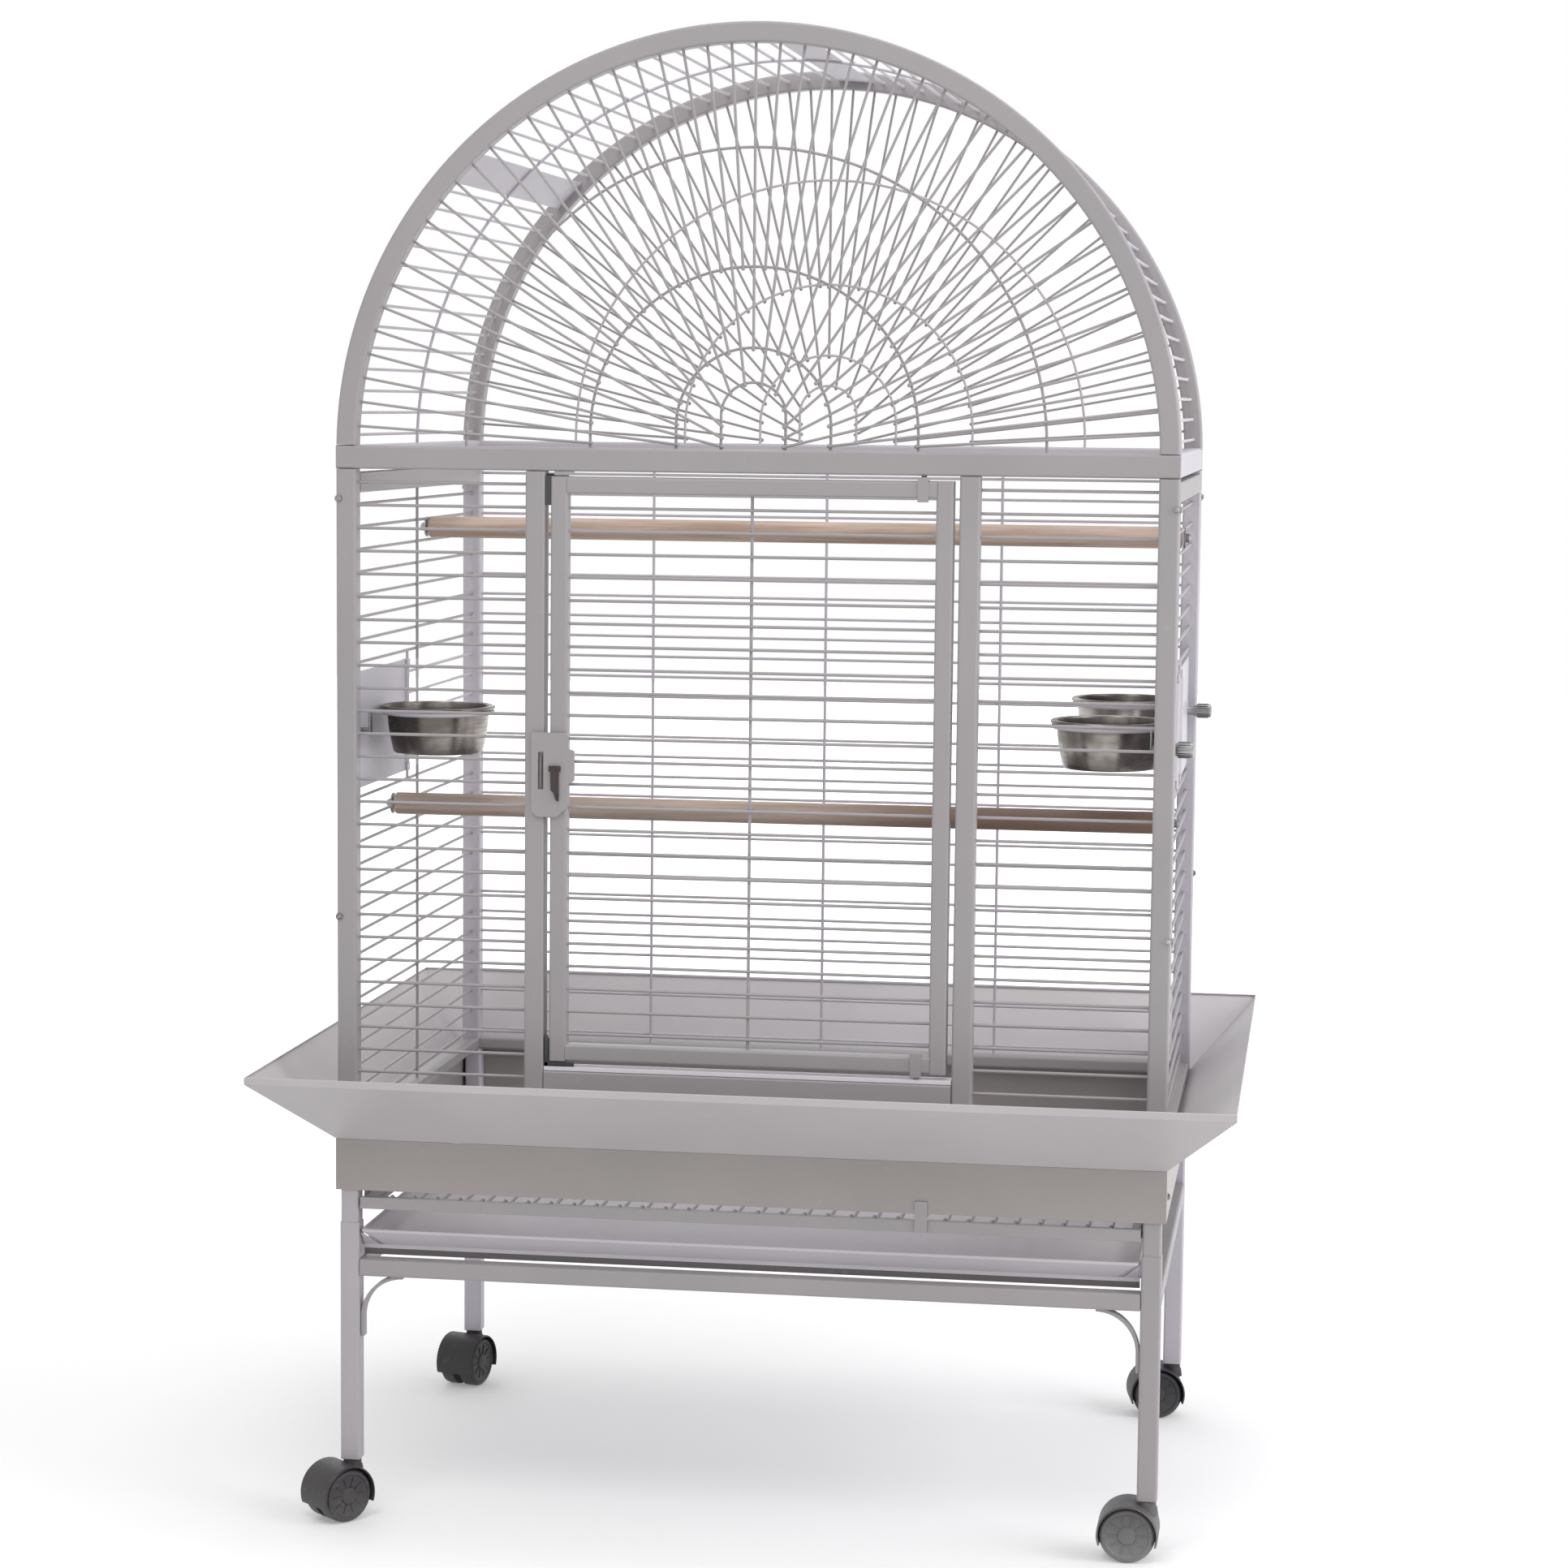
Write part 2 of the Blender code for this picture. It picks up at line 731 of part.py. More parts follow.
def roof_wires(start, finish):
    # Wires from front to back at the bar pitch, from one angle to another.
    solid = bmesh.new()
    count = math.floor((finish - start) / wire_step_angle + 0.5)
    reach = inner_depth - seat_gap
    for step in range(count):
        angle = start + (finish - start) * (step + 0.5) / count
        rod(solid, arc_point(roof_wire_radius, angle, -reach),
            arc_point(roof_wire_radius, angle, reach), wire_size)
    return solid


def roof_hoop(start, finish):
    steps = max(2, round((finish - start) * hoop_radius / ring_chord))
    path = [arc_point(hoop_radius, start + (finish - start) * step / steps, 0)
            for step in range(steps + 1)]
    return bent_wire([path], wire_size)


def roof_strap(middle):
    reach = inner_depth - seat_gap
    radial = Vector((math.cos(middle), 0, math.sin(middle)))
    along = Vector((-math.sin(middle), 0, math.cos(middle)))
    base = arc_point(hoop_radius + hoop_lap, middle, -reach)
    half = along * roof_strap_width / 2
    lift = radial * roof_strap_thickness
    solid = bmesh.new()
    extruded(solid, [base - half, base + half, base + half + lift, base - half + lift],
             (0, 2 * reach, 0))
    return solid


def dome_rail(side):
    reach = inner_depth - seat_gap
    solid = bmesh.new()
    tube(solid, sorted((side * inner_width, side * half_width)), (-reach, reach),
         (beam_bottom, beam_top_height), 1)
    return solid


def build_roof():
    left_strap, top_strap, right_strap = [math.radians(angle) for angle in roof_strap_angles]
    edge = strap_half_angle
    seam = seat_gap / hoop_radius
    sink = (beam_top_height - weld_depth - arch_centre) / hoop_radius
    reach = edge - wire_size / hoop_radius / 2
    sections = {
        "right_lower": (sink, right_strap + reach, sink, right_strap - edge,
                        [dome_rail(1), roof_strap(right_strap)]),
        "right_upper": (right_strap + edge + seam, top_strap + reach, right_strap + edge,
                        top_strap - edge, [roof_strap(top_strap)]),
        "left_upper": (top_strap + edge + seam, left_strap - edge - seam, top_strap + edge,
                       left_strap - edge, []),
        "left_lower": (left_strap - reach, math.pi - sink, left_strap + edge, math.pi - sink,
                       [dome_rail(-1), roof_strap(left_strap)]),
    }
    for name, (hoop_start, hoop_end, wires_start, wires_end, extras) in sections.items():
        hoop = roof_hoop(hoop_start, hoop_end)
        solid = fuse(hoop, roof_wires(wires_start, wires_end), *extras)
        place_part("roof_" + name, solid, lavender_paint)


# Perches

def build_perch(name, y, height):
    reach = side_plane - wire_size / 2 - seat_gap
    solid = bmesh.new()
    rod(solid, (-reach, y, height), (reach, y, height), perch_size, round_steps)
    place_part(name, solid, perch_wood)


# Door

def build_door():
    y = (-half_depth, -half_depth + door_tube)
    stile_inner = door_half - door_tube
    stiles = bmesh.new()
    for side in (-1, 1):
        tube(stiles, sorted((side * stile_inner, side * door_half)), y, (door_bottom, door_top), 2)
    cross = bmesh.new()
    reach = stile_inner + weld_depth
    low = door_bottom + door_rail_height
    high = door_top - door_rail_height
    tube(cross, (-reach, reach), y, (door_bottom, low), 0)
    tube(cross, (-reach, reach), y, (high, door_top), 0)
    front_bars(cross, -reach, reach, -door_plane, low, high)
    upright = bmesh.new()
    upright_y = -door_plane + wire_size + seat_gap
    rod(upright, (0, upright_y, low - weld_depth), (0, upright_y, high + weld_depth), wire_size)
    bores = bmesh.new()
    bore = hinge_pin_size + 4 * pivot_clearance
    for start, finish in ((door_bottom - weld_depth, low + weld_depth),
                          (high - weld_depth, door_top + weld_depth)):
        rod(bores, (hinge_x, -door_plane, start), (hinge_x, -door_plane, finish), bore, pin_sides)
    frame = cut(fuse(stiles, cross, upright), bores)
    place_part("door_frame", frame, grey_paint, (hinge_x, -door_plane, 0))


def latch_outline(y):
    # A plate with cut corners that laps over the jamb and bulges past the stile.
    left = -(jamb_inner + latch_plate_lap)
    right = -(door_half - door_tube) + latch_plate_overhang
    high = latch_height + latch_plate_height / 2
    low = latch_height - latch_plate_height / 2
    corner = latch_corner
    points = [(left, high), (right - corner, high), (right, high - latch_shoulder),
              (right, latch_height - corner), (right - corner, low), (left + corner / 2, low),
              (left, low + corner / 2)]
    return [(x, y, z) for x, z in points]


lever_x = -(door_half - lever_inset)
lever_z = latch_height + lever_pivot_lift


def build_latch():
    back = -half_depth - seat_gap
    plate = bmesh.new()
    extruded(plate, latch_outline(back), (0, -latch_plate_thickness, 0))
    keeper_x = -(jamb_inner + keeper_inset)
    half = keeper_thickness / 2 + keeper_clearance
    tall = keeper_height / 2 + keeper_clearance
    openings = bmesh.new()
    block(openings, (keeper_x - half, back - latch_plate_thickness * 2, latch_height - tall),
          (keeper_x + half, back + weld_depth, latch_height + tall))
    rod(openings, (lever_x, back + weld_depth, lever_z),
        (lever_x, back - latch_plate_thickness * 2, lever_z), lever_pin_size + 4 * pivot_clearance, pin_sides)
    place_part("door_latch_plate", cut(plate, openings), guard_paint)

    near = back - latch_plate_thickness - seat_gap
    head = lever_head_width / 2
    stem = lever_stem_width / 2
    outline = [(-head, lever_head_height / 2), (head, lever_head_height / 2),
               (head, -lever_head_height / 2), (stem, -lever_head_height / 2),
               (stem, -lever_length), (0, -lever_length), (-stem, stem - lever_length),
               (-stem, -lever_head_height / 2), (-head, -lever_head_height / 2)]
    lever = bmesh.new()
    extruded(lever, [(lever_x + x, near, lever_z + z) for x, z in outline],
             (0, -lever_thickness, 0))
    pin = bmesh.new()
    rod(pin, (lever_x, back - seat_gap, lever_z), (lever_x, near - weld_depth, lever_z),
        lever_pin_size, pin_sides)
    place_part("door_latch_lever", fuse(lever, pin), latch_steel, (lever_x, near, lever_z))


# Feeders

def feeder_cup_places(side, end):
    return side * cup_centre_x, end * cup_centre_y


def build_feeder_door(name, side, end):
    x = side * side_plane
    half = feeder_plate_thickness / 2
    barrel_radius = feeder_barrel_size / 2
    bore_radius = feeder_pin_size / 2 + pivot_clearance
    plate = bmesh.new()
    ys = sorted((end * (feeder_hinge_y + barrel_radius - weld_depth),
                 end * (feeder_hinge_y + feeder_plate_length)))
    block(plate, (x - half, ys[0], feeder_plate_bottom), (x + half, ys[1], feeder_plate_top))
    low = feeder_plate_bottom + feeder_lug_height + seat_gap
    high = feeder_plate_top - feeder_lug_height - seat_gap
    barrel = bmesh.new()
    turned(barrel, [(bore_radius, low), (barrel_radius, low), (barrel_radius, high),
                    (bore_radius, high)], (x, end * feeder_hinge_y, 0), (0, 0, 1), (1, 0, 0), pin_sides)
    notches = bmesh.new()
    for bottom, top in ((feeder_plate_bottom - weld_depth, low), (high, feeder_plate_top + weld_depth)):
        near = sorted((end * feeder_hinge_y, end * (feeder_hinge_y + barrel_radius + weld_depth)))
        block(notches, (x - barrel_radius, near[0], bottom), (x + barrel_radius, near[1], top))
    shaft_y = end * (feeder_hinge_y + feeder_plate_length - latch_shaft_inset)
    rod(notches, (x - barrel_radius, shaft_y, latch_shaft_height),
        (x + barrel_radius, shaft_y, latch_shaft_height), latch_shaft_size + 4 * pivot_clearance, pin_sides)
    cup_x, cup_y = feeder_cup_places(side, end)
    ring_radius = cup_wall_radius + holder_clearance + holder_wire / 2
    ring_z = cup_top_height - cup_rim_height - seat_gap - holder_wire / 2
    wire = holder_wire / 2
    ring = bmesh.new()
    turned(ring, [(ring_radius - wire, ring_z), (ring_radius, ring_z - wire),
                  (ring_radius + wire, ring_z), (ring_radius, ring_z + wire)],
           (cup_x, cup_y, 0), (0, 0, 1), (1, 0, 0), round_steps)
    arms = bmesh.new()
    for offset in (-holder_arm_offset, holder_arm_offset):
        ring_x = side * (cup_centre_x + math.sqrt(ring_radius ** 2 - offset ** 2))
        rod(arms, (ring_x, cup_y + offset, ring_z), (x, cup_y + offset, ring_z), holder_wire)
    solid = fuse(cut(plate, notches), barrel, ring, arms)
    place_part("feeder_door_" + name, solid, lavender_paint, (x, end * feeder_hinge_y, 0))


def build_feeder_latch(name, side, end):
    plate_outer = side_plane + feeder_plate_thickness / 2
    y = end * (feeder_hinge_y + feeder_plate_length - latch_shaft_inset)
    centre = Vector((0, y, latch_shaft_height))
    inner = inner_width - latch_tongue_clearance
    knob_start = plate_outer + seat_gap
    shaft = latch_shaft_size / 2
    knob = bmesh.new()
    profile = [(0, inner - latch_tongue_thickness / 2), (shaft, inner - latch_tongue_thickness / 2),
               (shaft, knob_start), (knob_radius, knob_start),
               (knob_radius - knob_neck, knob_start + knob_waist),
               (knob_radius, plate_outer + knob_reach - knob_neck),
               (knob_radius - knob_neck, plate_outer + knob_reach), (0, plate_outer + knob_reach)]
    turned(knob, profile, centre, (side, 0, 0), (0, 0, 1), pin_sides, closed=False)
    tongue = bmesh.new()
    xs = sorted((side * inner, side * (inner - latch_tongue_thickness)))
    half = latch_tongue_width / 2
    block(tongue, (xs[0], y - half, latch_shaft_height - half),
          (xs[1], y + half, latch_shaft_height + latch_tongue_length))
    place_part("feeder_latch_" + name, fuse(knob, tongue), latch_steel,
               (side * plate_outer, y, latch_shaft_height))


def build_cup(name, side, end):
    cup_x, cup_y = feeder_cup_places(side, end)
    low = cup_top_height - cup_height
    under_rim = cup_top_height - cup_rim_height
    sheet = cup_sheet
    profile = [(0, low), (cup_base_radius, low), (cup_wall_radius, under_rim),
               (cup_rim_radius, under_rim), (cup_rim_radius, cup_top_height - sheet),
               (cup_rim_radius - sheet, cup_top_height), (cup_wall_radius - sheet, cup_top_height),
               (cup_base_radius - sheet, low + sheet), (0, low + sheet)]
    solid = bmesh.new()
    turned(solid, profile, (cup_x, cup_y, 0), (0, 0, 1), (1, 0, 0), round_steps, closed=False)
    place_part("feeder_cup_" + name, solid, cup_steel, (cup_x, cup_y, low))


# Grate and tray

def build_grate():
    reach = leg_inner - grate_side_clearance
    back = inner_depth - seat_gap
    top = grate_bottom_height + grate_strip_height
    strips = bmesh.new()
    block(strips, (-reach, -half_depth, grate_bottom_height),
          (reach, -half_depth + grate_strip_thickness, top))
    side_outer = leg_inner - sheet_thickness - grate_side_clearance
    block(strips, (-side_outer, back - grate_strip_thickness, grate_bottom_height),
          (side_outer, back, top))
    start = -half_depth + grate_strip_thickness - weld_depth
    finish = back - grate_strip_thickness + weld_depth
    wire_z = grate_bottom_height + grate_wire_lift
    wires = bmesh.new()
    for side in (-1, 1):
        xs = sorted((side * side_outer, side * (side_outer - grate_side_bar)))
        block(wires, (xs[0], start, grate_bottom_height),
              (xs[1], finish, top - grate_side_drop))
    clear = side_outer - grate_side_bar
    count = math.floor(2 * clear / bar_pitch)
    for step in range(1, count):
        x = -clear + 2 * clear * step / count
        rod(wires, (x, start, wire_z), (x, finish, wire_z), wire_size)
    cross = bmesh.new()
    cross_z = wire_z + wire_size + seat_gap
    for end in (-1, 1):
        y = end * grate_cross_spacing
        rod(cross, (-clear - weld_depth, y, cross_z), (clear + weld_depth, y, cross_z), wire_size)
    place_part("floor_grate", fuse(strips, wires, cross), lavender_paint)


def build_pull_tab():
    # Stands in front of the grate's strip and rises in front of the apron.
    front = -half_depth - seat_gap
    tab_back = front - sheet_thickness - seat_gap
    x = span(pull_tab_x, pull_tab_width / 2)
    low = grate_bottom_height + weld_depth
    high = grate_bottom_height + pull_tab_height
    foot_top = grate_bottom_height + grate_strip_height - weld_depth
    section = [(front, low), (front, foot_top), (tab_back, foot_top), (tab_back, high),
               (tab_back - sheet_thickness, high), (tab_back - sheet_thickness, low)]
    tab = bmesh.new()
    extruded(tab, [(x[0], y, z) for y, z in section], (x[1] - x[0], 0, 0))
    place_part("grate_pull_tab", tab, guard_paint)


def build_tray():
    reach = leg_inner - tray_side_clearance
    front = -half_depth
    back = half_depth - tray_rear_clearance
    top = tray_bottom + tray_rim_height

    def loop(inset, height):
        half = reach - inset
        return [(-half, front + inset, height), (half, front + inset, height),
                (half, back - inset, height), (-half, back - inset, height)]

    floor = tray_bottom + tray_sheet
    solid = bmesh.new()
    loft(solid, [loop(tray_slope, tray_bottom), loop(0, top), loop(tray_sheet, top),
                 loop(tray_slope + tray_sheet, floor)])
    place_part("litter_tray", solid, guard_paint)


# Casters

def caster_frame(corner, side, end):
    turn = math.radians(caster_turns[corner])
    pivot = Vector((side * leg_x, end * front_plane, 0))
    return Matrix.Translation(pivot) @ Matrix.Rotation(turn, 4, "Z")


def build_caster(corner, side, end):
    # Modelled about the swivel axis with the wheels trailing towards -X, then turned.
    frame = caster_frame(corner, side, end)
    hub = Vector((-caster_trail, 0, wheel_height))
    well_radius = wheel_radius + hood_clearance
    hood_radius = well_radius + hood_thickness
    sweep = 180 + 2 * hood_dip_angle
    angles = [math.radians(-hood_dip_angle + sweep * step / hood_steps)
              for step in range(hood_steps + 1)]
    outline = [(hub.x + hood_radius * math.cos(a), -hood_width / 2,
                hub.z + hood_radius * math.sin(a)) for a in angles]
    hood = bmesh.new()
    extruded(hood, outline, (0, hood_width, 0))
    neck = bmesh.new()
    rod(neck, (0, 0, wheel_height), (0, 0, leg_foot_height), caster_neck_radius * 2, pin_sides)
    wells = bmesh.new()
    for face in (-1, 1):
        rod(wells, (hub.x, face * hood_web_half, hub.z), (hub.x, face * hood_width, hub.z),
            well_radius * 2, round_steps)
    axle_hole = bmesh.new()
    rod(axle_hole, (hub.x, -hood_width, hub.z), (hub.x, hood_width, hub.z),
        axle_size + 4 * pivot_clearance, pin_sides)
    solid = cut(fuse(hood, neck), wells, axle_hole)
    bmesh.ops.transform(solid, matrix=frame, verts=solid.verts)
    pivot = frame @ Vector((0, 0, leg_foot_height))
    place_part("caster_hood_" + corner, solid, caster_black, pivot)

    axle = axle_size / 2
    side_profile = [(0, wheel_outer_half), (wheel_radius - wheel_chamfer, wheel_outer_half),
                    (wheel_radius, wheel_outer_half - wheel_chamfer),
                    (wheel_radius, wheel_gap_half), (axle, wheel_gap_half)]
    profile = [(radius, -along) for radius, along in side_profile]
    profile += [(radius, along) for radius, along in reversed(side_profile)]
    wheels = bmesh.new()
    turned(wheels, profile, hub, (0, 1, 0), (0, 0, -1), round_steps, closed=False)
    bmesh.ops.transform(wheels, matrix=frame, verts=wheels.verts)
    place_part("caster_wheels_" + corner, wheels, caster_black, frame @ hub)


clear_scene()
grey_paint = finish_material("grey_paint", (0.42, 0.40, 0.41), 0.45, 0.1)
lavender_paint = finish_material("lavender_paint", (0.50, 0.48, 0.53), 0.45, 0.1)
warm_paint = finish_material("warm_paint", (0.32, 0.30, 0.29), 0.45, 0.1)
guard_paint = finish_material("guard_paint", (0.41, 0.39, 0.39), 0.4, 0.1)
perch_wood = finish_material("perch_wood", (0.36, 0.25, 0.18), 0.7, 0)
cup_steel = finish_material("cup_steel", (0.55, 0.54, 0.52), 0.25, 1)
latch_steel = finish_material("latch_steel", (0.10, 0.08, 0.08), 0.4, 0.6)
caster_black = finish_material("caster_black", (0.05, 0.045, 0.05), 0.5, 0)

corners = [("front_left", -1, -1), ("front_right", 1, -1), ("back_left", -1, 1), ("back_right", 1, 1)]
for corner_name, corner_side, corner_end in corners:
    build_leg(corner_name, corner_side, corner_end)
    build_caster(corner_name, corner_side, corner_end)
for end_name, end_sign in (("front", -1), ("back", 1)):
    build_end_rail(end_name, end_sign)
    build_end_apron(end_name, end_sign)
    build_guard(end_name, 1, end_sign)
    build_beam(end_name, end_sign)
    build_arch(end_name, end_sign)
for side_name, side_sign in (("left", -1), ("right", 1)):
    build_side_rail(side_name, side_sign)
    build_side_apron(side_name, side_sign)
    build_guard(side_name, 0, side_sign)
    build_front_panel("front_panel_" + side_name, side_sign)
build_side_walls("left", -1, [-1])
build_side_walls("right", 1, [-1, 1])
build_sill()
build_back_panel()
build_roof()
build_perch("perch_upper", upper_perch_y, upper_perch_height)
build_perch("perch_lower", lower_perch_y, lower_perch_height)
build_door()
build_latch()
for feeder_name, feeder_side, feeder_end in (("left_front", -1, -1), ("right_front", 1, -1),
                                             ("right_back", 1, 1)):
    build_feeder_door(feeder_name, feeder_side, feeder_end)
    build_feeder_latch(feeder_name, feeder_side, feeder_end)
    build_cup(feeder_name, feeder_side, feeder_end)
build_grate()
build_pull_tab()
build_tray()
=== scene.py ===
import json
import math

import bmesh
import bpy
from mathutils import Matrix, Vector

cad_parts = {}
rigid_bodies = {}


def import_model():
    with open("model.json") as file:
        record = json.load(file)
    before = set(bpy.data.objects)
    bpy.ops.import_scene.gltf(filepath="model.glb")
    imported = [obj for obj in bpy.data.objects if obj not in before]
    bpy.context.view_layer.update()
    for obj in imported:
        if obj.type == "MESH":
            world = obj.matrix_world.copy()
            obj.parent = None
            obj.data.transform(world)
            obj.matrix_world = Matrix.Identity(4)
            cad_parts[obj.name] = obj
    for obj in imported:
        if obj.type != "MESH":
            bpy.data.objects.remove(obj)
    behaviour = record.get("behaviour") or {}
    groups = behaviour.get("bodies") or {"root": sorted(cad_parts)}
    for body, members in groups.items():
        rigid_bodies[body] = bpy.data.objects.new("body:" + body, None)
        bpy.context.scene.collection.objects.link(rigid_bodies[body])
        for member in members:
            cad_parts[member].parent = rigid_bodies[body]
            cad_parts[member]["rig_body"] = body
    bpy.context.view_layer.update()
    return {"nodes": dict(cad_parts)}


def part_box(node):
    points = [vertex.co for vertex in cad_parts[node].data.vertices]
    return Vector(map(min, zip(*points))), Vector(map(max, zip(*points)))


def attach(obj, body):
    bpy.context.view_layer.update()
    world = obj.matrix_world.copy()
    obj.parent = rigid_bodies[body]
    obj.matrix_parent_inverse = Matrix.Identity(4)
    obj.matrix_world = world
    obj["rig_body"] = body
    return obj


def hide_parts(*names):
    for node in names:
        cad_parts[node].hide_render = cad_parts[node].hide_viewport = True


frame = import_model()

sceneCollection = bpy.context.scene.collection
emptyMesh = bpy.data.meshes.new("emptyMesh")

# Sizes that the pieces share: seat is the room between neighbours, sink how deep joined parts overlap
cage = {
    "tube": 0.022, "tubeRound": 0.003, "halfWidth": 0.457, "halfDepth": 0.305,
    "base": 0.430, "railTop": 0.4445, "beamBottom": 1.1695, "beamTop": 1.195,
    "firstBar": 0.455, "pitch": 0.025, "barMargin": 0.006, "arcCentre": 1.1895,
    "seat": 0.0003, "sink": 0.001,
}
wire = {"diameter": 0.0035, "sides": 10, "weld": 0.0027}
# Edge bevels by kind of part, and how many flat sides the small round parts get
eased = {"slot": 0.0001, "sheet": 0.0003, "plate": 0.0004, "tab": 0.0005, "bar": 0.0006, "angle": 35}
facets = {"pin": 12, "hinge": 16, "bore": 20, "sleeve": 24, "stem": 32, "ring": 64}
half = cage["tube"] / 2
frontFace = -cage["halfDepth"]
frontPlane = cage["halfDepth"] - half
sidePlane = cage["halfWidth"] - half
innerWidth = cage["halfWidth"] - cage["tube"]
innerDepth = cage["halfDepth"] - cage["tube"]
sideReach = innerDepth - cage["seat"]
wallSides = {"left": -1, "right": 1}
wallEnds = {"front": -1, "back": 1}
corners = {end + "_" + side: (wallSides[side], wallEnds[end]) for end in wallEnds for side in wallSides}
upright = (0, 0, 1)


# Nodes of shaders and of geometry
def addNode(tree, kind, inputs=(), **settings):
    # Adds a node; each input, by name or number, gets a value or a link from a socket.
    node = tree.nodes.new(kind)
    for label, value in settings.items():
        setattr(node, label, value)
    for label, value in dict(inputs).items():
        socket = node.inputs[label]
        if hasattr(value, "is_linked"):
            tree.links.new(value, socket)
        else:
            socket.default_value = (*value[:3], 1) if socket.type == "RGBA" else value
    return node


def noise(tree, vector, scale, detail=3.0, roughness=0.55):
    return addNode(tree, "ShaderNodeTexNoise", {
        "Vector": vector, "Scale": scale, "Detail": detail, "Roughness": roughness}).outputs["Fac"]


def spread(tree, value, low, high, outLow=0.0, outHigh=1.0):
    # A smooth step between two amounts.
    return addNode(tree, "ShaderNodeMapRange", {
        "Value": value, "From Min": low, "From Max": high, "To Min": outLow, "To Max": outHigh},
        interpolation_type="SMOOTHSTEP").outputs["Result"]


def calculate(tree, operation, first, second):
    return addNode(tree, "ShaderNodeMath", {0: first, 1: second}, operation=operation).outputs[0]


def blendColour(tree, factor, first, second, kind="MIX"):
    return addNode(tree, "ShaderNodeMix", {0: factor, 6: first, 7: second},
                   data_type="RGBA", blend_type=kind).outputs[2]


def axisOf(tree, vector, label):
    return addNode(tree, "ShaderNodeSeparateXYZ", {0: vector}).outputs[label]


def shaderGroup(name, inputs):
    # Starts a group: its tree, its inputs, and the object's own coordinates and normal.
    tree = bpy.data.node_groups.new(name, "ShaderNodeTree")
    for label, value in inputs.items():
        size = len(value) if isinstance(value, tuple) else 1
        kind = {1: "NodeSocketFloat", 3: "NodeSocketVector", 4: "NodeSocketColor"}[size]
        tree.interface.new_socket(label, in_out="INPUT", socket_type=kind).default_value = value
    place = tree.nodes.new("ShaderNodeTexCoord").outputs
    return tree, tree.nodes.new("NodeGroupInput").outputs, place["Object"], place["Normal"]


def closeGroup(tree, colour, roughness, height):
    results = {"Colour": colour, "Roughness": roughness, "Height": height}
    for label in results:
        kind = "NodeSocketColor" if label == "Colour" else "NodeSocketFloat"
        tree.interface.new_socket(label, in_out="OUTPUT", socket_type=kind)
    addNode(tree, "NodeGroupOutput", results)
    return tree


def powderCoatGroup():
    # Baked powder paint: soft cloudy tone, fine orange peel, a few pale rubs and dust on level faces.
    tree, given, place, normal = shaderGroup("powderCoat", {
        "Colour": (0.4, 0.4, 0.4, 1), "Cloud": 0.035, "Peel Scale": 520.0, "Gloss": 0.42, "Rubs": 0.10,
        "Dust": 0.12})
    cloud = noise(tree, place, 5.0, 4.0)
    peel = noise(tree, place, given["Peel Scale"], 2.0)
    tone = spread(tree, cloud, 0.25, 0.75, calculate(tree, "SUBTRACT", 1.0, given["Cloud"]),
                  calculate(tree, "ADD", 1.0, given["Cloud"]))
    speck = spread(tree, noise(tree, place, 1400.0, 1.0), 0.35, 0.65, 0.985, 1.015)
    tone = calculate(tree, "MULTIPLY", tone, speck)
    toneColour = addNode(tree, "ShaderNodeCombineColor", {0: tone, 1: tone, 2: tone}).outputs[0]
    painted = blendColour(tree, 1.0, given["Colour"], toneColour, "MULTIPLY")
    warm = spread(tree, noise(tree, place, 2.6), 0.35, 0.65, 0.0, 0.5)
    warmer = blendColour(tree, 1.0, painted, (1.02, 0.985, 0.965), "MULTIPLY")
    painted = blendColour(tree, warm, painted, warmer)
    rubbed = spread(tree, noise(tree, place, 46.0, 5.0, 0.6), 0.64, 0.74)
    rubbed = calculate(tree, "MULTIPLY", rubbed, given["Rubs"])
    painted = blendColour(tree, rubbed, painted, (0.66, 0.65, 0.66))
    dusty = spread(tree, axisOf(tree, normal, "Z"), 0.4, 1.0)
    dusty = calculate(tree, "MULTIPLY", dusty, spread(tree, cloud, 0.35, 0.7, 0.3))
    dusty = calculate(tree, "MULTIPLY", dusty, given["Dust"])
    rough = calculate(tree, "ADD", given["Gloss"], spread(tree, peel, 0.3, 0.7, -0.05, 0.06))
    rough = calculate(tree, "ADD", rough, calculate(tree, "MULTIPLY", dusty, 0.8))
    return closeGroup(tree, blendColour(tree, dusty, painted, (0.74, 0.72, 0.70)), rough, peel)


def dowelGrainGroup():
    # Turned softwood: long grain along the dowel with darker streaks and a few fine pores.
    tree, given, place, _ = shaderGroup("dowelGrain", {
        "Pale Wood": (0.67, 0.525, 0.44, 1), "Dark Wood": (0.42, 0.295, 0.225, 1),
        "Right End Wood": (0.18, 0.11, 0.075, 1), "Right End": 0.0})
    drawn = addNode(tree, "ShaderNodeMapping", {"Vector": place, "Scale": (1.4, 34.0, 34.0)}).outputs[0]
    grain = noise(tree, drawn, 3.2, 6.0, 0.62)
    fibre = noise(tree, drawn, 17.0, 3.0, 0.7)
    colour = blendColour(tree, spread(tree, grain, 0.34, 0.68), given["Pale Wood"], given["Dark Wood"])
    right = spread(tree, axisOf(tree, place, "X"), -0.05, 0.25)
    right = calculate(tree, "MULTIPLY", right, given["Right End"])
    colour = blendColour(tree, right, colour, given["Right End Wood"])
    colour = blendColour(tree, spread(tree, fibre, 0.60, 0.72, 0.0, 0.35), colour, (0.16, 0.10, 0.07))
    return closeGroup(tree, colour, spread(tree, fibre, 0.3, 0.7, 0.5, 0.72), fibre)


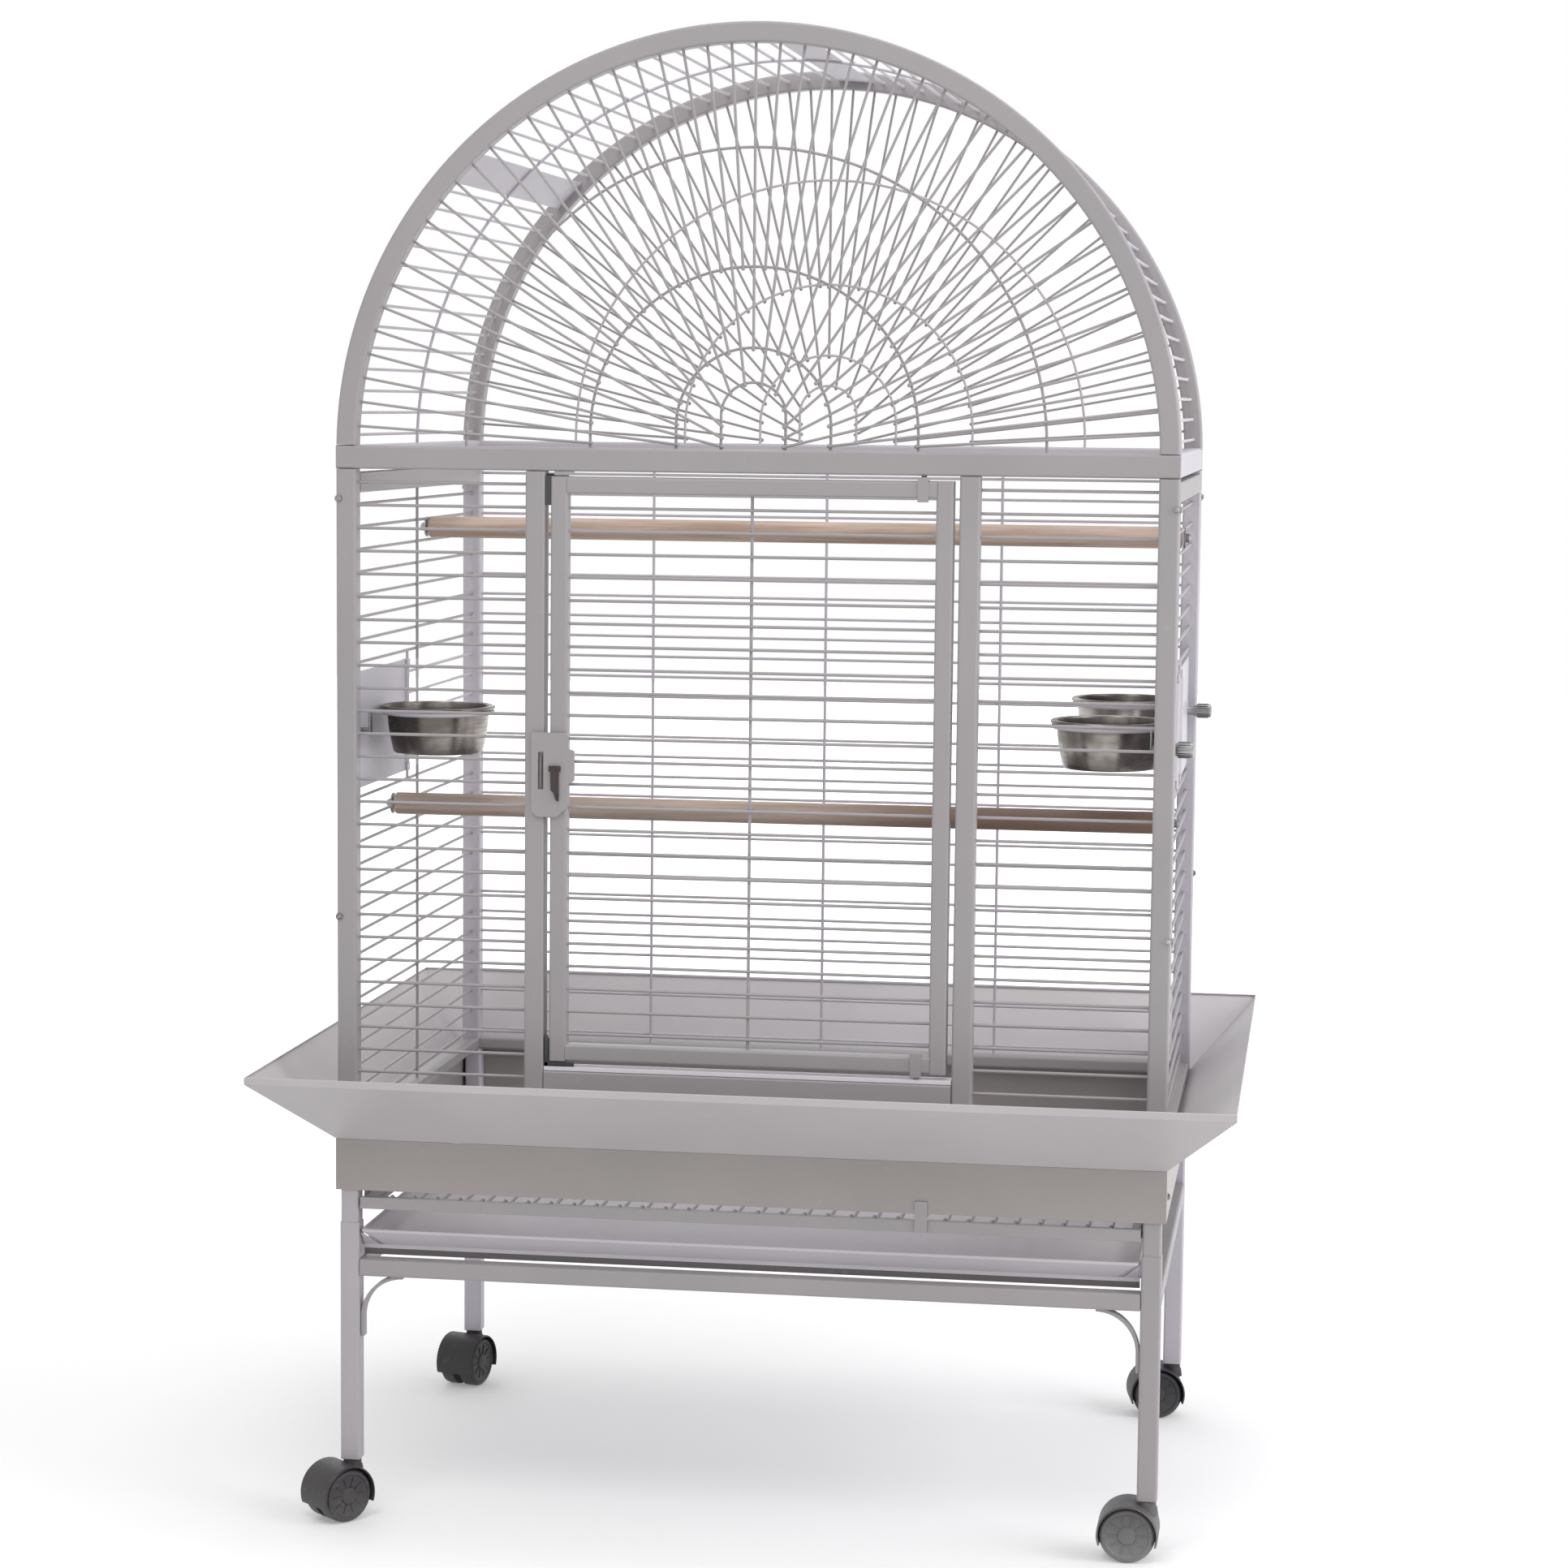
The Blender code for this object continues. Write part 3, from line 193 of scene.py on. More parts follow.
def steelMarksGroup():
    # Polishing marks: noise drawn out one way, with cloudy dull areas.
    tree, given, place, _ = shaderGroup("steelMarks", {
        "Colour": (0.5, 0.5, 0.5, 1), "Shade": (0.2, 0.2, 0.2, 1), "Stretch": (8.0, 8.0, 180.0), "Gloss": 0.2,
        "Patches": 14.0})
    drawn = addNode(tree, "ShaderNodeVectorMath", {0: place, 1: given["Stretch"]}, operation="MULTIPLY")
    marks = noise(tree, drawn.outputs[0], 1.0, 4.0, 0.65)
    clouds = noise(tree, place, given["Patches"])
    colour = blendColour(tree, spread(tree, clouds, 0.38, 0.62), given["Colour"], given["Shade"])
    colour = blendColour(tree, spread(tree, marks, 0.3, 0.7, 0.0, 0.35), colour, given["Shade"])
    rough = calculate(tree, "ADD", given["Gloss"], spread(tree, marks, 0.3, 0.7, 0.0, 0.14))
    rough = calculate(tree, "ADD", rough, spread(tree, clouds, 0.4, 0.7, 0.0, 0.08))
    return closeGroup(tree, colour, rough, marks)


def casterPlasticGroup():
    # Moulded nylon with a spark-eroded grain, scuffs, and dust that gathers near the floor.
    tree, given, place, _ = shaderGroup("casterPlastic", {
        "Colour": (0.04, 0.04, 0.04, 1), "Scuffs": 0.3, "Dust": 0.2, "Dust Top": 0.05})
    grain = noise(tree, place, 900.0, 2.0)
    scuffs = spread(tree, noise(tree, place, 75.0, 5.0, 0.7), 0.56, 0.72)
    scuffs = calculate(tree, "MULTIPLY", scuffs, given["Scuffs"])
    floorDust = spread(tree, axisOf(tree, place, "Z"), given["Dust Top"], 0.0)
    floorDust = calculate(tree, "MULTIPLY", floorDust, given["Dust"])
    colour = blendColour(tree, scuffs, given["Colour"], (0.22, 0.21, 0.21))
    colour = blendColour(tree, floorDust, colour, (0.25, 0.25, 0.25))
    return closeGroup(tree, colour, spread(tree, grain, 0.3, 0.7, 0.42, 0.6), grain)


def finishFrom(name, group, values, bumpDistance, bumpStrength, metallic=0.0):
    # A material with its own shader; the group gives the colour, roughness and height.
    material = bpy.data.materials.new(name)
    material.use_nodes = True
    tree = material.node_tree
    effect = addNode(tree, "ShaderNodeGroup", values, node_tree=group).outputs
    bump = addNode(tree, "ShaderNodeBump", {
        "Strength": bumpStrength, "Distance": bumpDistance, "Height": effect["Height"]})
    shader = tree.nodes["Principled BSDF"].inputs
    shader["Metallic"].default_value = metallic
    tree.links.new(effect["Colour"], shader["Base Color"])
    tree.links.new(effect["Roughness"], shader["Roughness"])
    tree.links.new(bump.outputs["Normal"], shader["Normal"])
    return material


# Geometry node trees for what repeats
wireInputs = {"Diameter": "Float", "Weld Size": "Float", "Sides": "Int"}
boltShape = {"washerSides": 20, "crown": 0.62}


def geometryTree(name, inputs):
    tree = bpy.data.node_groups.new(name, "GeometryNodeTree")
    for label, kind in {"Geometry": "Geometry", **inputs, "Finish": "Material"}.items():
        tree.interface.new_socket(label, in_out="INPUT", socket_type="NodeSocket" + kind)
    tree.interface.new_socket("Geometry", in_out="OUTPUT", socket_type="NodeSocketGeometry")
    return tree, tree.nodes.new("NodeGroupInput").outputs


def grow(tree, kind, **inputs):
    # The first output of a new geometry node; an underscore in an input's name stands for a space.
    values = {label.replace("_", " "): value for label, value in inputs.items()}
    return addNode(tree, "GeometryNode" + kind, values).outputs[0]


def closeTree(tree, geometry, material):
    real = grow(tree, "RealizeInstances", Geometry=geometry)
    smooth = grow(tree, "SetShadeSmooth", Geometry=real)
    coated = grow(tree, "SetMaterial", Geometry=smooth, Material=material)
    addNode(tree, "NodeGroupOutput", {"Geometry": coated})
    return tree


def halved(tree, value):
    return calculate(tree, "MULTIPLY", value, 0.5)


def joined(tree, parts):
    whole = tree.nodes.new("GeometryNodeJoinGeometry")
    for part in parts:
        tree.links.new(part, whole.inputs[0])
    return whole.outputs[0]


def turnedTo(tree, vector, axis):
    return addNode(tree, "FunctionNodeAlignRotationToVector", {"Vector": vector}, axis=axis).outputs[0]


def sweptWire(tree, given, curve):
    profile = grow(tree, "CurvePrimitiveCircle", Radius=halved(tree, given["Diameter"]),
                   Resolution=given["Sides"])
    return grow(tree, "CurveToMesh", Curve=curve, Profile_Curve=profile, Fill_Caps=True)


def weldBead(tree, given):
    return grow(tree, "MeshIcoSphere", Radius=given["Weld Size"], Subdivisions=1)


def barRowTree():
    # Straight wires side by side, each with a weld bead where its ends meet the tubes.
    tree, given = geometryTree("barRow", {
        "Start": "Vector", "End": "Vector", "Step": "Vector", "Count": "Int", **wireInputs})
    line = grow(tree, "CurvePrimitiveLine", Start=given["Start"], End=given["End"])
    bead = weldBead(tree, given)
    parts = [sweptWire(tree, given, line)]
    parts += [grow(tree, "Transform", Geometry=bead, Translation=given[end]) for end in ("Start", "End")]
    row = grow(tree, "MeshLine", Count=given["Count"], Offset=given["Step"])
    placed = grow(tree, "InstanceOnPoints", Points=row, Instance=joined(tree, parts))
    return closeTree(tree, placed, given["Finish"])


def wirePathTree():
    # Wires that follow the edges of a mesh, with a weld bead at each free end.
    tree, given = geometryTree("wirePath", wireInputs)
    path = grow(tree, "MeshToCurve", Mesh=given["Geometry"])
    neighbours = tree.nodes.new("GeometryNodeInputMeshVertexNeighbors")
    free = addNode(tree, "FunctionNodeCompare", {2: neighbours.outputs["Vertex Count"], 3: 1},
                   data_type="INT", operation="EQUAL").outputs[0]
    ends = grow(tree, "InstanceOnPoints", Points=given["Geometry"], Selection=free,
                Instance=weldBead(tree, given))
    return closeTree(tree, joined(tree, [sweptWire(tree, given, path), ends]), given["Finish"])


def boltTree():
    # Bolts standing on a mesh's points along its "facing" attribute: washer, head and domed top.
    tree, given = geometryTree("boltSet", {
        "Head Width": "Float", "Head Height": "Float", "Washer Width": "Float", "Washer Height": "Float",
        "Sides": "Int"})
    facing = addNode(tree, "GeometryNodeInputNamedAttribute", {"Name": "facing"}, data_type="FLOAT_VECTOR")
    radius = halved(tree, given["Head Width"])
    lift = halved(tree, given["Head Height"])
    washer = grow(tree, "MeshCylinder", Radius=halved(tree, given["Washer Width"]),
                  Depth=given["Washer Height"], Vertices=boltShape["washerSides"])
    head = grow(tree, "MeshCylinder", Radius=radius, Depth=given["Head Height"], Vertices=given["Sides"])
    crown = grow(tree, "MeshCone", Radius_Bottom=radius, Depth=lift, Vertices=given["Sides"],
                 Radius_Top=calculate(tree, "MULTIPLY", radius, boltShape["crown"]))
    parts = [washer]
    for part, height in ((head, lift), (crown, given["Head Height"])):
        offset = addNode(tree, "ShaderNodeCombineXYZ", {"Z": height}).outputs[0]
        parts.append(grow(tree, "Transform", Geometry=part, Translation=offset))
    placed = grow(tree, "InstanceOnPoints", Points=given["Geometry"], Instance=joined(tree, parts),
                  Rotation=turnedTo(tree, facing.outputs[0], "Z"))
    return closeTree(tree, placed, given["Finish"])


def ribRingTree():
    # Ribs set evenly round an axis: a slim block on each point of a circle, turned to face out.
    tree, given = geometryTree("ribRing", {"Count": "Int", "Radius": "Float", "Rib Size": "Vector"})
    circle = grow(tree, "MeshCircle", Vertices=given["Count"], Radius=given["Radius"])
    turn = turnedTo(tree, tree.nodes.new("GeometryNodeInputPosition").outputs[0], "X")
    placed = grow(tree, "InstanceOnPoints", Points=circle, Rotation=turn,
                  Instance=grow(tree, "MeshCube", Size=given["Rib Size"]))
    return closeTree(tree, placed, given["Finish"])


def runTree(tree, source, finish, values):
    # Evaluates a tree once and hands back a plain mesh.
    maker = bpy.data.objects.new("maker", source)
    sceneCollection.objects.link(maker)
    nodes = maker.modifiers.new("Maker", "NODES")
    nodes.node_group = tree
    values = {**values, "Finish": finishes[finish]}
    for socket in tree.interface.items_tree:
        if socket.in_out == "INPUT" and socket.name in values:
            nodes[socket.identifier] = values[socket.name]
    bpy.context.view_layer.update()
    made = bpy.data.meshes.new_from_object(maker.evaluated_get(bpy.context.evaluated_depsgraph_get()))
    maker.modifiers.remove(nodes)
    bpy.data.objects.remove(maker)
    return made


def pointMesh(points, edges=(), facing=None):
    mesh = bpy.data.meshes.new("points")
    mesh.from_pydata([tuple(point) for point in points], list(edges), [])
    if facing:
        attribute = mesh.attributes.new("facing", "FLOAT_VECTOR", "POINT")
        attribute.data.foreach_set("vector", [value for vector in facing for value in vector])
    return mesh


# Mesh helpers
def around(middle, reach):
    return (middle - reach, middle + reach)


def addBox(solid, low, high):
    # A plain box between two corners; hands back its edges.
    place = Matrix.Translation((Vector(low) + Vector(high)) / 2)
    size = Matrix.Diagonal((*[abs(value) for value in Vector(high) - Vector(low)], 1))
    made = bmesh.ops.create_cube(solid, size=1, matrix=place @ size)["verts"]
    return list({edge for vert in made for edge in vert.link_edges})


def addBlock(solid, low, high, bevelled=0.0):
    edges = addBox(solid, low, high)
    if bevelled:
        bmesh.ops.bevel(solid, geom=edges, offset=bevelled, segments=2, profile=0.5, affect="EDGES")


def addTube(solid, x, y, z, along):
    # A square tube with rolled corners and closed ends; along is the index of its length.
    edges = [edge for edge in addBox(solid, *zip(x, y, z))
             if abs(edge.verts[0].co[along] - edge.verts[1].co[along]) > cage["tubeRound"]]
    bmesh.ops.bevel(solid, geom=edges, offset=cage["tubeRound"], segments=4, profile=0.5, affect="EDGES")


def addLoft(solid, loops):
    # Skins a run of loops and closes both ends.
    rings = [[solid.verts.new(point) for point in loop] for loop in loops]
    faces = [solid.faces.new(rings[0]), solid.faces.new(rings[-1])]
    for near, far in zip(rings, rings[1:]):
        for index in range(len(near)):
            following = (index + 1) % len(near)
            faces.append(solid.faces.new((near[index], near[following], far[following], far[index])))
    bmesh.ops.recalc_face_normals(solid, faces=faces)


def addBmesh(solid, made, place=None):
    mesh = bpy.data.meshes.new("moved")
    made.to_mesh(mesh)
    made.free()
    if place is not None:
        mesh.transform(place)
    solid.from_mesh(mesh)
    bpy.data.meshes.remove(mesh)


def addTurned(solid, profile, centre, axis, steps, closed=False, start=0.0, sweep=math.tau):
    # Spins (radius, distance along the axis) points; a part turn gets end faces.
    axis = Vector(axis)
    side = Vector((1, 0, 0)) if abs(axis.y) > 0.9 else axis.orthogonal().normalized()
    across = axis.cross(side)

    def spun(radius, along, step):
        angle = start + sweep * step / steps
        return Vector(centre) + axis * along + radius * (side * math.cos(angle) + across * math.sin(angle))

    if sweep < math.tau:
        addLoft(solid, [[spun(*point, step) for point in profile] for step in range(steps + 1)])
        return
    made = bmesh.new()
    rings = [[made.verts.new(spun(radius, along, step)) for step in range(steps if radius else 1)]
             for radius, along in profile]
    for near, far in zip(rings, rings[1:] + (rings[:1] if closed else [])):
        for index in range(steps):
            following = (index + 1) % steps
            places = [near[index % len(near)], near[following % len(near)],
                      far[following % len(far)], far[index % len(far)]]
            places = [vert for at, vert in enumerate(places) if vert not in places[:at]]
            if len(places) > 2:
                made.faces.new(places)
    bmesh.ops.recalc_face_normals(made, faces=made.faces)
    addBmesh(solid, made)


def addRod(solid, radius, low, high, centre, axis, steps):
    # A round rod between two distances along its axis.
    addTurned(solid, [(0, low), (radius, low), (radius, high), (0, high)], centre, axis, steps)


def addSleeve(solid, bore, radius, low, high, centre, steps):
    # An upright round tube that is open at both ends.
    addTurned(solid, [(bore, low), (radius, low), (radius, high), (bore, high)], centre, upright, steps,
              closed=True)


def addExtruded(solid, outline, travel, bevelled=0.0):
    made = bmesh.new()
    face = made.faces.new([made.verts.new(point) for point in outline])
    grown = bmesh.ops.extrude_face_region(made, geom=[face])["geom"]
    moved = [item for item in grown if isinstance(item, bmesh.types.BMVert)]
    bmesh.ops.translate(made, verts=moved, vec=travel)
    bmesh.ops.recalc_face_normals(made, faces=made.faces)
    if bevelled:
        bmesh.ops.bevel(made, geom=list(made.edges), offset=bevelled, segments=2, profile=0.5, affect="EDGES")
    addBmesh(solid, made)


def barHeights(low, high):
    count = math.floor((cage["beamBottom"] - cage["firstBar"]) / cage["pitch"])
    grid = [cage["firstBar"] + cage["pitch"] * step for step in range(count + 1)]
    return [height for height in grid if low + cage["barMargin"] < height < high - cage["barMargin"]]


def addRow(solid, start, end, step, count, weld=wire["weld"]):
    solid.from_mesh(runTree(trees["bars"], emptyMesh, "frame", {
        "Start": start, "End": end, "Step": step, "Count": count, "Diameter": wire["diameter"],
        "Weld Size": weld, "Sides": wire["sides"]}))


def addBars(solid, start, end, low, high):
    # Level wires between two heights; start and end are (x, y) places.
    heights = barHeights(low, high)
    addRow(solid, (*start, heights[0]), (*end, heights[0]), (0, 0, cage["pitch"]), len(heights))


def addUpright(solid, x, y, low, high, weld=0.0):
    addRow(solid, (x, y, low), (x, y, high), upright, 1, weld)


def addPaths(solid, paths, weld, diameter=wire["diameter"]):
    points, edges = [], []
    for path in paths:
        edges += [(len(points) + at, len(points) + at + 1) for at in range(len(path) - 1)]
        points += path
    solid.from_mesh(runTree(trees["paths"], pointMesh(points, edges), "frame", {
        "Diameter": diameter, "Weld Size": weld, "Sides": wire["sides"]}))


def makePiece(name, solid, nodes=(), finish="frame", body="cage", sharp=50, edgeRound=0.0):
    # Makes an object of one finish; clearing the mesh's materials puts all its faces on the first slot.
    mesh = bpy.data.meshes.new(name)
    solid.to_mesh(mesh)
    solid.free()
    mesh.materials.clear()
    mesh.materials.append(finishes[finish])
    mesh.shade_smooth()
    mesh.set_sharp_from_angle(angle=math.radians(sharp))
    piece = bpy.data.objects.new(name, mesh)
    sceneCollection.objects.link(piece)
    if edgeRound:
        rounding = piece.modifiers.new("Eased edges", "BEVEL")
        rounding.width = edgeRound
        rounding.segments = 2
        rounding.limit_method = "ANGLE"
        rounding.angle_limit = math.radians(eased["angle"])
    even = piece.modifiers.new("Even shading", "WEIGHTED_NORMAL")
    even.keep_sharp = True
    if nodes:
        body = frame["nodes"][nodes[0]]["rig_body"]
        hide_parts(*nodes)
    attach(piece, body)


def addBolts(name, places, sizes):
    # Bolts at (point, facing) pairs; sizes holds the tree's own inputs.
    points, facing = zip(*places)
    solid = bmesh.new()
    solid.from_mesh(runTree(trees["bolts"], pointMesh(points, facing=facing), "boltSteel", sizes))
    makePiece(name, solid, finish="boltSteel", sharp=35)


trees = {"bars": barRowTree(), "paths": wirePathTree(), "bolts": boltTree(), "ribs": ribRingTree()}

# Finishes: paints of one powder coat, several of them lighter or darker copies of it that paint in light and
# shade, dowels, steels and caster plastics
paint = {
    # Past frame, the lavender inner paint (inner walls, back, roof, feeder doors) and the leg paint are
    # lighter copies of the coat: painted light
    "frame": (0.365, 0.348, 0.358), "inner": (0.56, 0.535, 0.585), "leg": (0.465, 0.443, 0.465),
    # The back left leg's paint is a lighter copy, painted light; the near-white strip paint is a painted
    # highlight along the sill
    "paleLeg": (0.66, 0.63, 0.70), "strip": (0.84, 0.81, 0.86), "apron": (0.365, 0.340, 0.328),
    # The guard and tray paints are lighter copies, painted light; the near-black paint under the tray's front
    # edge is painted shade
    "guard": (0.53, 0.505, 0.518), "tray": (0.57, 0.545, 0.59), "trayHem": (0.115, 0.105, 0.11),
    "keeper": (0.20, 0.18, 0.18), "bumper": (0.045, 0.043, 0.047),
}
paintHabit = {
    "apron": {"Cloud": 0.045}, "guard": {"Gloss": 0.36, "Rubs": 0.14}, "tray": {"Dust": 0.3, "Gloss": 0.38},
}
dowels = {
    "perch": {},
    "lowPerch": {"Pale Wood": (0.535, 0.43, 0.37), "Dark Wood": (0.37, 0.28, 0.225), "Right End": 0.85},
}
# Each steel has its colour, its shade, how its marks are drawn out, its gloss, bump strength and metal share.
steels = {
    "cupSteel": ((0.36, 0.33, 0.31), (0.12, 0.105, 0.095), (8.0, 8.0, 180.0), 0.2, 0.2, 1.0),
    "boltSteel": ((0.36, 0.35, 0.35), (0.20, 0.19, 0.19), (90.0, 90.0, 90.0), 0.32, 0.2, 1.0),
    "latchSteel": ((0.085, 0.065, 0.065), (0.04, 0.03, 0.03), (120.0, 120.0, 20.0), 0.36, 0.3, 0.6),
    "knobSteel": ((0.37, 0.375, 0.37), (0.2, 0.2, 0.2), (20.0, 150.0, 150.0), 0.3, 0.3, 0.9),
}
plastics = {
    # The front right caster's plastic is a lighter copy, painted light, with dust near the floor; the back
    # casters' copy is darker, painted shade
    "caster": {"Colour": (0.040, 0.036, 0.039)},
    "backCaster": {"Colour": (0.022, 0.019, 0.022), "Scuffs": 0.15},
    "dustyCaster": {"Colour": (0.12, 0.115, 0.118), "Dust": 0.9, "Dust Top": 0.06},
}
# The distance and the strength of a bump; a steel's strength is in its own row.
bumps = {"paint": (0.0002, 0.35), "wood": (0.0006, 0.4), "plastic": (0.0002, 0.3), "steel": 0.0001}
coat, grain, marks, nylon = powderCoatGroup(), dowelGrainGroup(), steelMarksGroup(), casterPlasticGroup()
finishes = {}
for name, colour in paint.items():
    values = {"Colour": colour, **paintHabit.get(name, {})}
    finishes[name] = finishFrom(name + "Paint", coat, values, *bumps["paint"])
for name, values in dowels.items():
    finishes[name] = finishFrom(name + "Wood", grain, values, *bumps["wood"])
for name, (colour, shade, stretch, gloss, strength, metallic) in steels.items():
    values = {"Colour": colour, "Shade": shade, "Stretch": stretch, "Gloss": gloss}
    finishes[name] = finishFrom(name, marks, values, bumps["steel"], strength, metallic)
for name, values in plastics.items():
    finishes[name] = finishFrom(name + "Plastic", nylon, values, *bumps["plastic"])
print("finishes and node trees ready")

# Stand
stand = {
    "legX": 0.4435, "joint": 0.337, "jointGap": 0.0012, "jointLap": 0.004, "step": 0.0009,
    "foot": 0.0663, "footPlug": ((0, 0), (0.009, 0), (0.0102, 0.0006), (0.0102, 0.002), (0, 0.002)),
    "rail": (0.2755, 0.2945), "braceRadius": 0.048, "braceTail": 0.022, "braceThick": 0.004,
    "braceWide": 0.012, "braceSteps": 24, "shelfTop": 0.3087, "shelfSheet": 0.0015, "shelfWide": 0.0325,
    "shelfGap": 0.0015, "shelfPost": 0.018, "legRound": 0.0005, "railRound": 0.0006,
    # The legs' paints by corner: all but the front right one are lighter copies of the coat, painted light
    "finishes": {"front_left": "leg", "front_right": "frame", "back_left": "paleLeg", "back_right": "inner"},
}
legInner = stand["legX"] - half
railLow, railHigh = stand["rail"]
for corner, (side, end) in corners.items():
    solid = bmesh.new()
    for inset, heights in ((0, (stand["foot"], stand["joint"] - stand["jointGap"])),
                           (stand["step"], (stand["joint"] - stand["jointLap"], cage["base"]))):
        addTube(solid, around(side * stand["legX"], half - inset), around(end * frontPlane, half - inset),
                heights, 2)
    addTurned(solid, [(radius, stand["foot"] + rise) for radius, rise in stand["footPlug"]],
              (side * stand["legX"], end * frontPlane, 0), upright, facets["sleeve"])
    makePiece("standLeg." + corner, solid, ["stand_leg_" + corner], stand["finishes"][corner],
              edgeRound=stand["legRound"])

for name, end in wallEnds.items():
    solid = bmesh.new()
    reach = legInner - cage["seat"]
    addTube(solid, (-reach, reach), around(end * frontPlane, half), stand["rail"], 0)
    centreX = reach - stand["braceRadius"]
    centreZ = railLow + cage["sink"] - stand["braceRadius"]
    near, far = around(end * frontPlane, stand["braceWide"] / 2)
    outer, inner = stand["braceRadius"], stand["braceRadius"] - stand["braceThick"]
    for side in (-1, 1):
        loops = []
        for step in range(-1, stand["braceSteps"] + 1):
            angle = math.pi / 2 * max(step, 0) / stand["braceSteps"]
            foot = centreZ - (stand["braceTail"] if step < 0 else 0.0)
            loops.append([(side * (centreX + radius * math.cos(angle)), y, foot + radius * math.sin(angle))
                          for radius, y in ((outer, near), (outer, far), (inner, far), (inner, near))])
        addLoft(solid, loops)
    makePiece("standRail." + name, solid, ["stand_rail_" + name], edgeRound=stand["railRound"])

for name, side in wallSides.items():
    solid = bmesh.new()
    addTube(solid, around(side * stand["legX"], half), (-sideReach, sideReach), stand["rail"], 1)
    inner = legInner + stand["shelfGap"]
    outer = inner + stand["shelfSheet"]
    shelfLow = stand["shelfTop"] - stand["shelfSheet"]
    for end in (-1, 1):
        addBlock(solid, (side * inner, end * sideReach, railHigh - cage["sink"]),
                 (side * outer, end * (sideReach - stand["shelfPost"]), shelfLow + stand["shelfSheet"] / 2))
    addBlock(solid, (side * (outer - stand["shelfWide"]), -sideReach, shelfLow),
             (side * outer, sideReach, stand["shelfTop"]), eased["plate"])
    makePiece("standRail." + name, solid, ["stand_rail_" + name])
print("stand ready")

# Aprons and seed guards
apron = {"low": 0.373, "sheet": 0.0012, "shelfTop": 0.3517, "shelfWide": 0.014}
for name in wallEnds:
    solid = bmesh.new()
    low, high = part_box("apron_" + name)
    addBlock(solid, low, high, eased["sheet"])
    makePiece("apron." + name, solid, ["apron_" + name], "apron")
inner = cage["halfWidth"] + cage["seat"]
sheet = apron["sheet"]
lap = inner + sheet / 2
section = [(lap, apron["low"]), (lap, apron["low"] + sheet), (legInner - sheet, apron["low"] + sheet),
           (legInner - sheet, apron["shelfTop"]), (legInner - apron["shelfWide"], apron["shelfTop"]),
           (legInner - apron["shelfWide"], apron["shelfTop"] - sheet), (legInner, apron["shelfTop"] - sheet),
           (legInner, apron["low"])]
for name, side in wallSides.items():
    solid = bmesh.new()
    addBlock(solid, (side * inner, frontFace, apron["low"]),
             (side * (inner + sheet), cage["halfDepth"], cage["base"]), eased["sheet"])
    addExtruded(solid, [(side * x, -sideReach, z) for x, z in section], (0, 2 * sideReach, 0), eased["sheet"])
    makePiece("apron." + name, solid, ["apron_" + name], "apron")

guard = {
    "reachSide": 0.077, "reachFront": 0.098, "rise": 0.083, "lips": {"front": 0.008}, "plainLip": 0.0028,
    "sheet": 0.0012, "hem": 0.0011, "hemTuck": 1.6, "lipTuck": 0.0002, "seam": 0.0001, "hemSteps": 6,
}


def guardSection(lip):
    # (share of the reach, height) round the sheet: slope, lip and a rolled hem along its top.
    low = cage["base"] + cage["seat"]
    high = low + guard["rise"]
    hem = guard["hem"]
    thin = guard["sheet"] / guard["reachFront"]
    section = [(0.0, low), (thin, low), (1 - thin, high - lip - guard["sheet"]), (1.0, high - lip)]
    for step in range(guard["hemSteps"] + 1):
        angle = math.pi * step / guard["hemSteps"]
        section.append((1 - hem / guard["reachFront"] * (1 - math.cos(angle)),
                        high - hem + hem * math.sin(angle)))
    return section + [(1 - thin, high - guard["hemTuck"] * hem), (1 - thin, high - lip + guard["lipTuck"]),
                      (0.0, low + 2 * guard["sheet"])]


for name, side in {**wallEnds, **wallSides}.items():
    solid = bmesh.new()
    loops = []
    for end in (-1, 1):
        loop = []
        for share, height in guardSection(guard["lips"].get(name, guard["plainLip"])):
            x = cage["halfWidth"] + cage["seat"] + share * guard["reachSide"]
            y = cage["halfDepth"] + cage["seat"] + share * guard["reachFront"]
            loop.append((end * (x - guard["seam"]), side * y, height) if name in wallEnds
                        else (side * x, end * (y - guard["seam"]), height))
        loops.append(loop)
    addLoft(solid, loops)
    makePiece("seedGuard." + name, solid, ["seed_guard_" + name], "guard", sharp=40)
print("aprons and seed guards ready")

# Walls
wall = {
    "jambOuter": 0.2465, "stopReach": 0.022, "stopThick": 0.0015, "stopOver": (0.0055, 0.00275),
    "tabX": (0.010, 0.032), "tabDepth": (0.0005, 0.0025), "tabRise": 0.0012,
    "doorBottom": 0.526, "doorTop": 1.164, "doorTube": 0.019, "backUprights": 0.216,
    "sillLow": 0.490, "sillHigh": 0.515, "highlightTall": 0.0045, "highlightInset": 0.0005,
    "hingeX": 0.1855, "hingePin": 0.003, "pinReach": 0.012, "sideRailHigh": 1.165, "sideRailTall": 0.022,
}
wallLow = cage["base"] + cage["seat"]
wallHigh = cage["beamBottom"] - cage["seat"]
footHeights = (wallLow, cage["railTop"])
jambInner = wall["jambOuter"] - cage["tube"]
frontDepth = (frontFace, -innerDepth)
doorPlane = cage["halfDepth"] - wall["doorTube"] / 2

